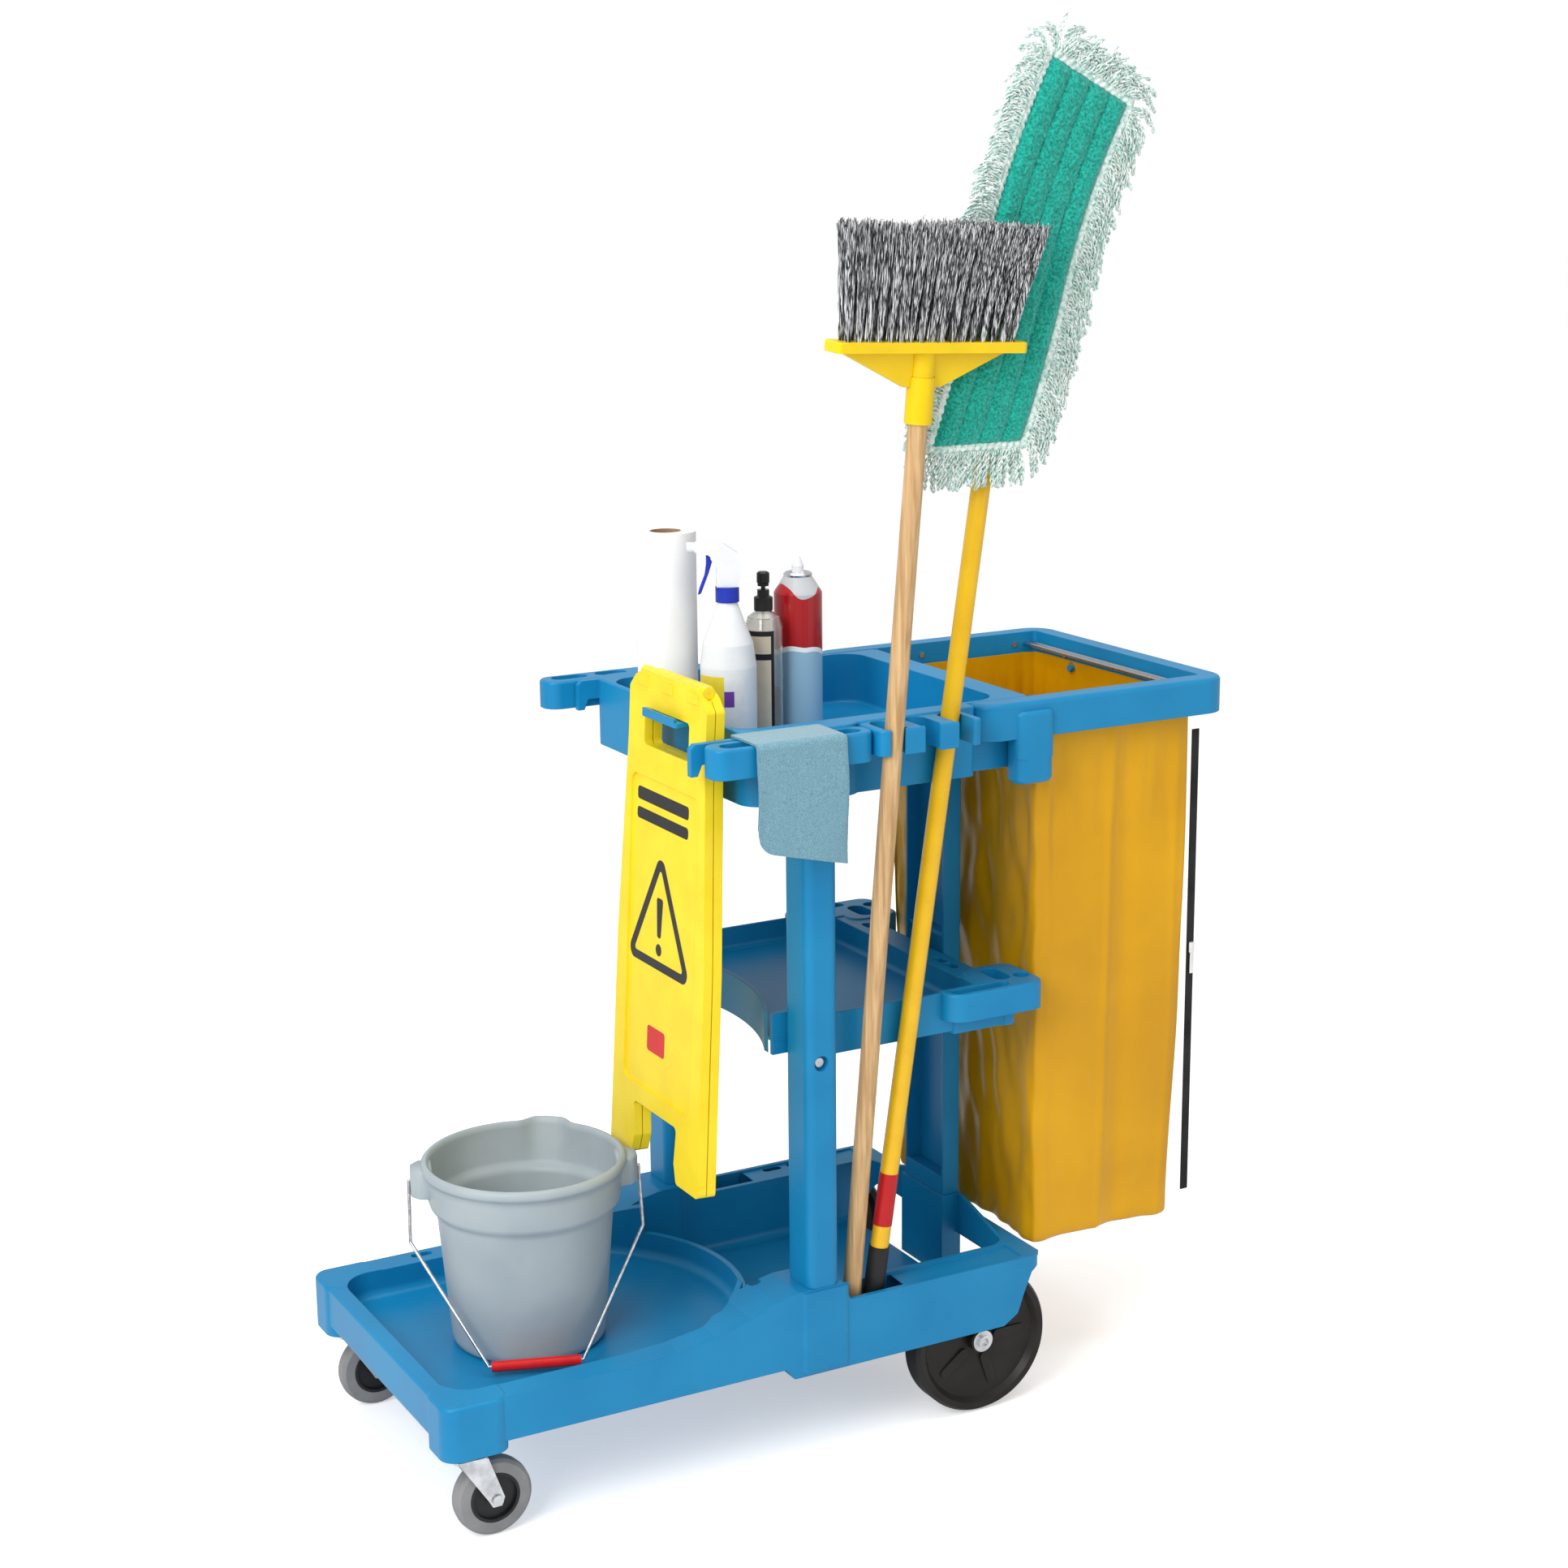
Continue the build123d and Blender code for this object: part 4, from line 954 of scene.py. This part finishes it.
canPaint = banded(
    finish("canPaint", {
        "dark": (0.4, 0.01, 0.02), "light": (0.46, 0.015, 0.025), "rough": 0.25, "coat": 0.4}),
    0.905, 1.125,
    ((0, (0.30, 0.48, 0.62)), (0.62, (0.86, 0.88, 0.90)), (0.655, (0.42, 0.008, 0.012)),
     (0.985, (0.52, 0.53, 0.55))), wave=0.05)
print("stock is labelled")

# terry cloth, doubled over and hung on the near tool lobe
cloth = {
    "left": 418, "right": 543, "flatWide": 0.252, "flatLong": 0.224, "edge": -268.2, "inner": -207,
    "top": 972.4, "corner": 5, "dropLeft": 842, "dropRight": 812, "round": 22, "gap": 1.0, "ply": 1.7,
}
terry = finish("terry", {
    "dark": (0.120, 0.270, 0.345), "light": (0.225, 0.410, 0.500), "toneScale": 700, "toneDetail": 4,
    "toneRange": (0.35, 0.62), "rough": 0.95, "roughSpread": 0.03, "grainScale": 900, "bump": 0.9,
    "depth": 0.0010, "sheen": 0.4, "sheenRoughness": 0.4,
})


def makeCloth():
    sheet = gridSheet("terryCloth", 96, 90)
    wide = cloth["right"] - cloth["left"]
    foldLength = 0.5 * math.pi * cloth["corner"]
    flatTop = cloth["edge"] - cloth["inner"]

    def hang(co):
        run = co.x * 2 * wide
        under = run < wide
        x = cloth["left"] + run if under else cloth["right"] - (run - wide)
        turn = softStep((run - wide + 4) / 8)
        share = (x - cloth["left"]) / wide
        foot = cloth["dropLeft"] + (cloth["dropRight"] - cloth["dropLeft"]) * share + (7 if under else 0)
        cut = cloth["round"] - min(x - cloth["left"], cloth["right"] - x if under else 999)
        if cut > 0 and not (under and share > 0.5):
            foot += cloth["round"] - math.sqrt(max(0, cloth["round"] ** 2 - cut ** 2))
        drop = cloth["top"] - cloth["corner"] - foot
        along = co.y * (abs(flatTop) + foldLength + drop)
        off = cloth["gap"] + cloth["ply"] * turn + 0.5 * ripple((x / 1000, along / 1000, 0), 0.006, 4)
        if along < abs(flatTop):
            y, z = cloth["inner"] - along, cloth["top"] + off
        elif along < abs(flatTop) + foldLength:
            angle = (along - abs(flatTop)) / cloth["corner"]
            radius = cloth["corner"] + off
            y = cloth["edge"] - radius * math.sin(angle) + 0.0
            z = cloth["top"] - cloth["corner"] + radius * math.cos(angle)
        else:
            fall = along - abs(flatTop) - foldLength
            sway = 2.6 * softStep(fall / 50) * (0.6 + ripple((x / 1000, fall / 2600, 0), 0.035, 6))
            y = cloth["edge"] - cloth["corner"] - off - sway * (1 + turn * 0.4)
            z = cloth["top"] - cloth["corner"] - fall
            x += 1.8 * softStep(fall / 90) * math.sin(fall / 28)
        return at(x, y, z)
    shapeBy(sheet, hang)
    pile = sheet.modifiers.new("pile", "SOLIDIFY")
    pile.thickness = 0.0011
    pile.offset = 0
    applyAll(sheet)
    smooth(sheet, 60)
    dress(sheet, "cart", "cloth_blue", terry, "cloth")
    return sheet


makeCloth()
print("cloth is hung")


# finishes for the CAD nodes that stay
flat = {
    "steel_rod": {
        "dark": (0.42, 0.43, 0.45), "light": (0.6, 0.61, 0.63), "metal": 1, "rough": 0.28,
        "stretch": (60, 60, 4)},
    "screw_steel": {
        "dark": (0.45, 0.46, 0.48), "light": (0.62, 0.63, 0.65), "metal": 1, "rough": 0.3,
        "toneScale": 120},
    "grommet": {
        "dark": (0.6, 0.6, 0.62), "light": (0.8, 0.8, 0.82), "metal": 1, "rough": 0.2,
        "toneScale": 90},
    "zipper_black": {
        "dark": (0.006, 0.006, 0.006), "light": (0.02, 0.02, 0.02), "rough": 0.7,
        "grainScale": 1500, "bump": 0.6},
    "zipper_pull": {"dark": (0.7, 0.7, 0.7), "light": (0.82, 0.82, 0.82), "rough": 0.3},
    "wheel_black": {
        "dark": (0.010, 0.009, 0.008), "light": (0.018, 0.016, 0.014), "rough": 0.42,
        "grainScale": 1400, "bump": 0.25},
    "caster_tyre": {
        "dark": (0.20, 0.20, 0.205), "light": (0.27, 0.27, 0.275), "rough": 0.6,
        "grainScale": 1200, "bump": 0.3},
    "caster_hub": {"dark": (0.012, 0.012, 0.013), "light": (0.022, 0.022, 0.024), "rough": 0.4},
    "zinc": {
        "dark": (0.50, 0.51, 0.53), "light": (0.74, 0.75, 0.77), "metal": 1, "rough": 0.3,
        "toneScale": 60, "toneDetail": 8},
    "bucket_grey": {
        "dark": (0.36, 0.41, 0.45), "light": (0.40, 0.45, 0.49), "rough": 0.42,
        "grainScale": 1800, "bump": 0.2},
    "bail_wire": {
        "dark": (0.5, 0.5, 0.52), "light": (0.75, 0.75, 0.77), "metal": 1, "rough": 0.22,
        "toneScale": 120},
    "grip_red": {
        "dark": (0.60, 0.010, 0.012), "light": (0.70, 0.014, 0.016), "rough": 0.3,
        "toneScale": 60},
    "sign_yellow": {
        "dark": (0.86, 0.640, 0.012), "light": (0.91, 0.700, 0.020), "rough": 0.36, "edge": 1.2,
        "grainScale": 1600, "bump": 0.15},
    "broom_wood": {
        "dark": (0.45, 0.26, 0.11), "light": (0.68, 0.45, 0.22), "rough": 0.42,
        "stretch": (60, 60, 3), "toneScale": 3, "toneDetail": 8, "coat": 0.25},
    "broom_yellow": {
        "dark": (0.82, 0.56, 0.003), "light": (0.88, 0.62, 0.005), "rough": 0.3, "edge": 1.0,
        "toneScale": 18,
        "grainScale": 1900, "bump": 0.1},
    "bristle_grey": {
        "dark": (0.03, 0.032, 0.035), "light": (0.55, 0.56, 0.58), "rough": 0.35,
        "stretch": (1, 1, 0.05), "toneScale": 500},
    "mop_handle_yellow": {
        "dark": (0.78, 0.45, 0.003), "light": (0.84, 0.50, 0.005), "rough": 0.28, "coat": 0.4},
    "grip_black": {
        "dark": (0.008, 0.008, 0.008), "light": (0.02, 0.02, 0.02), "rough": 0.5, "bump": 0.3},
    "band_red": {"dark": (0.45, 0.01, 0.012), "light": (0.5, 0.012, 0.014), "rough": 0.3},
    "mop_plastic": {"dark": (0.80, 0.5, 0.01), "light": (0.85, 0.55, 0.012), "rough": 0.35},
    "mop_teal": {
        "dark": (0.0, 0.24, 0.18), "light": (0.02, 0.42, 0.33), "rough": 0.9, "toneScale": 300,
        "sheen": 0.3},
    "mop_fringe": {
        "dark": (0.55, 0.74, 0.68), "light": (0.85, 0.93, 0.90), "rough": 0.9, "toneScale": 90},
    "towel_paper": {
        "dark": (0.84, 0.84, 0.83), "light": (0.88, 0.88, 0.87), "rough": 0.9, "grainScale": 700,
        "bump": 0.4},
    "towel_card": {
        "dark": (0.30, 0.18, 0.10), "light": (0.42, 0.27, 0.16), "rough": 0.85, "grainScale": 900,
        "bump": 0.4},
    "bottle_white": {
        "dark": (0.78, 0.79, 0.81), "light": (0.84, 0.85, 0.87), "rough": 0.32, "glow": 0.2},
    "trigger_blue": {"dark": (0.012, 0.03, 0.36), "light": (0.018, 0.04, 0.45), "rough": 0.3},
    "bottle_clear": {
        "dark": (0.93, 0.91, 0.86), "light": (0.97, 0.95, 0.9), "rough": 0.12,
        "roughSpread": 0.03, "clear": 0.9, "bump": 0.02},
    "liquid_amber": {
        "dark": (0.55, 0.20, 0.03), "light": (0.62, 0.24, 0.04), "rough": 0.06,
        "roughSpread": 0.01, "clear": 0.75, "ior": 1.34, "bump": 0.01},
    "cap_black": {"dark": (0.010, 0.010, 0.010), "light": (0.018, 0.018, 0.018), "rough": 0.3},
    "can_cup": {
        "dark": (0.62, 0.63, 0.65), "light": (0.8, 0.81, 0.83), "metal": 1, "rough": 0.22,
        "toneScale": 60},
    "cloth_blue": {"dark": (0.14, 0.28, 0.38), "light": (0.26, 0.44, 0.55), "rough": 0.95, "sheen": 0.3},
}
madeFinishes = {}
for row in frame["record"]["subparts"]:
    node = frame["nodes"][row["node"]]
    if node.hide_render:
        continue
    slotName = row["material_slot"]
    if slotName not in madeFinishes:
        made = {"cart_plastic": cartBlue, "can_paint": canPaint}.get(slotName)
        madeFinishes[slotName] = made or finish(slotName + "Finish", flat[slotName])
    node.data.materials.clear()
    node.data.materials.append(madeFinishes[slotName])
print("kept nodes are finished")
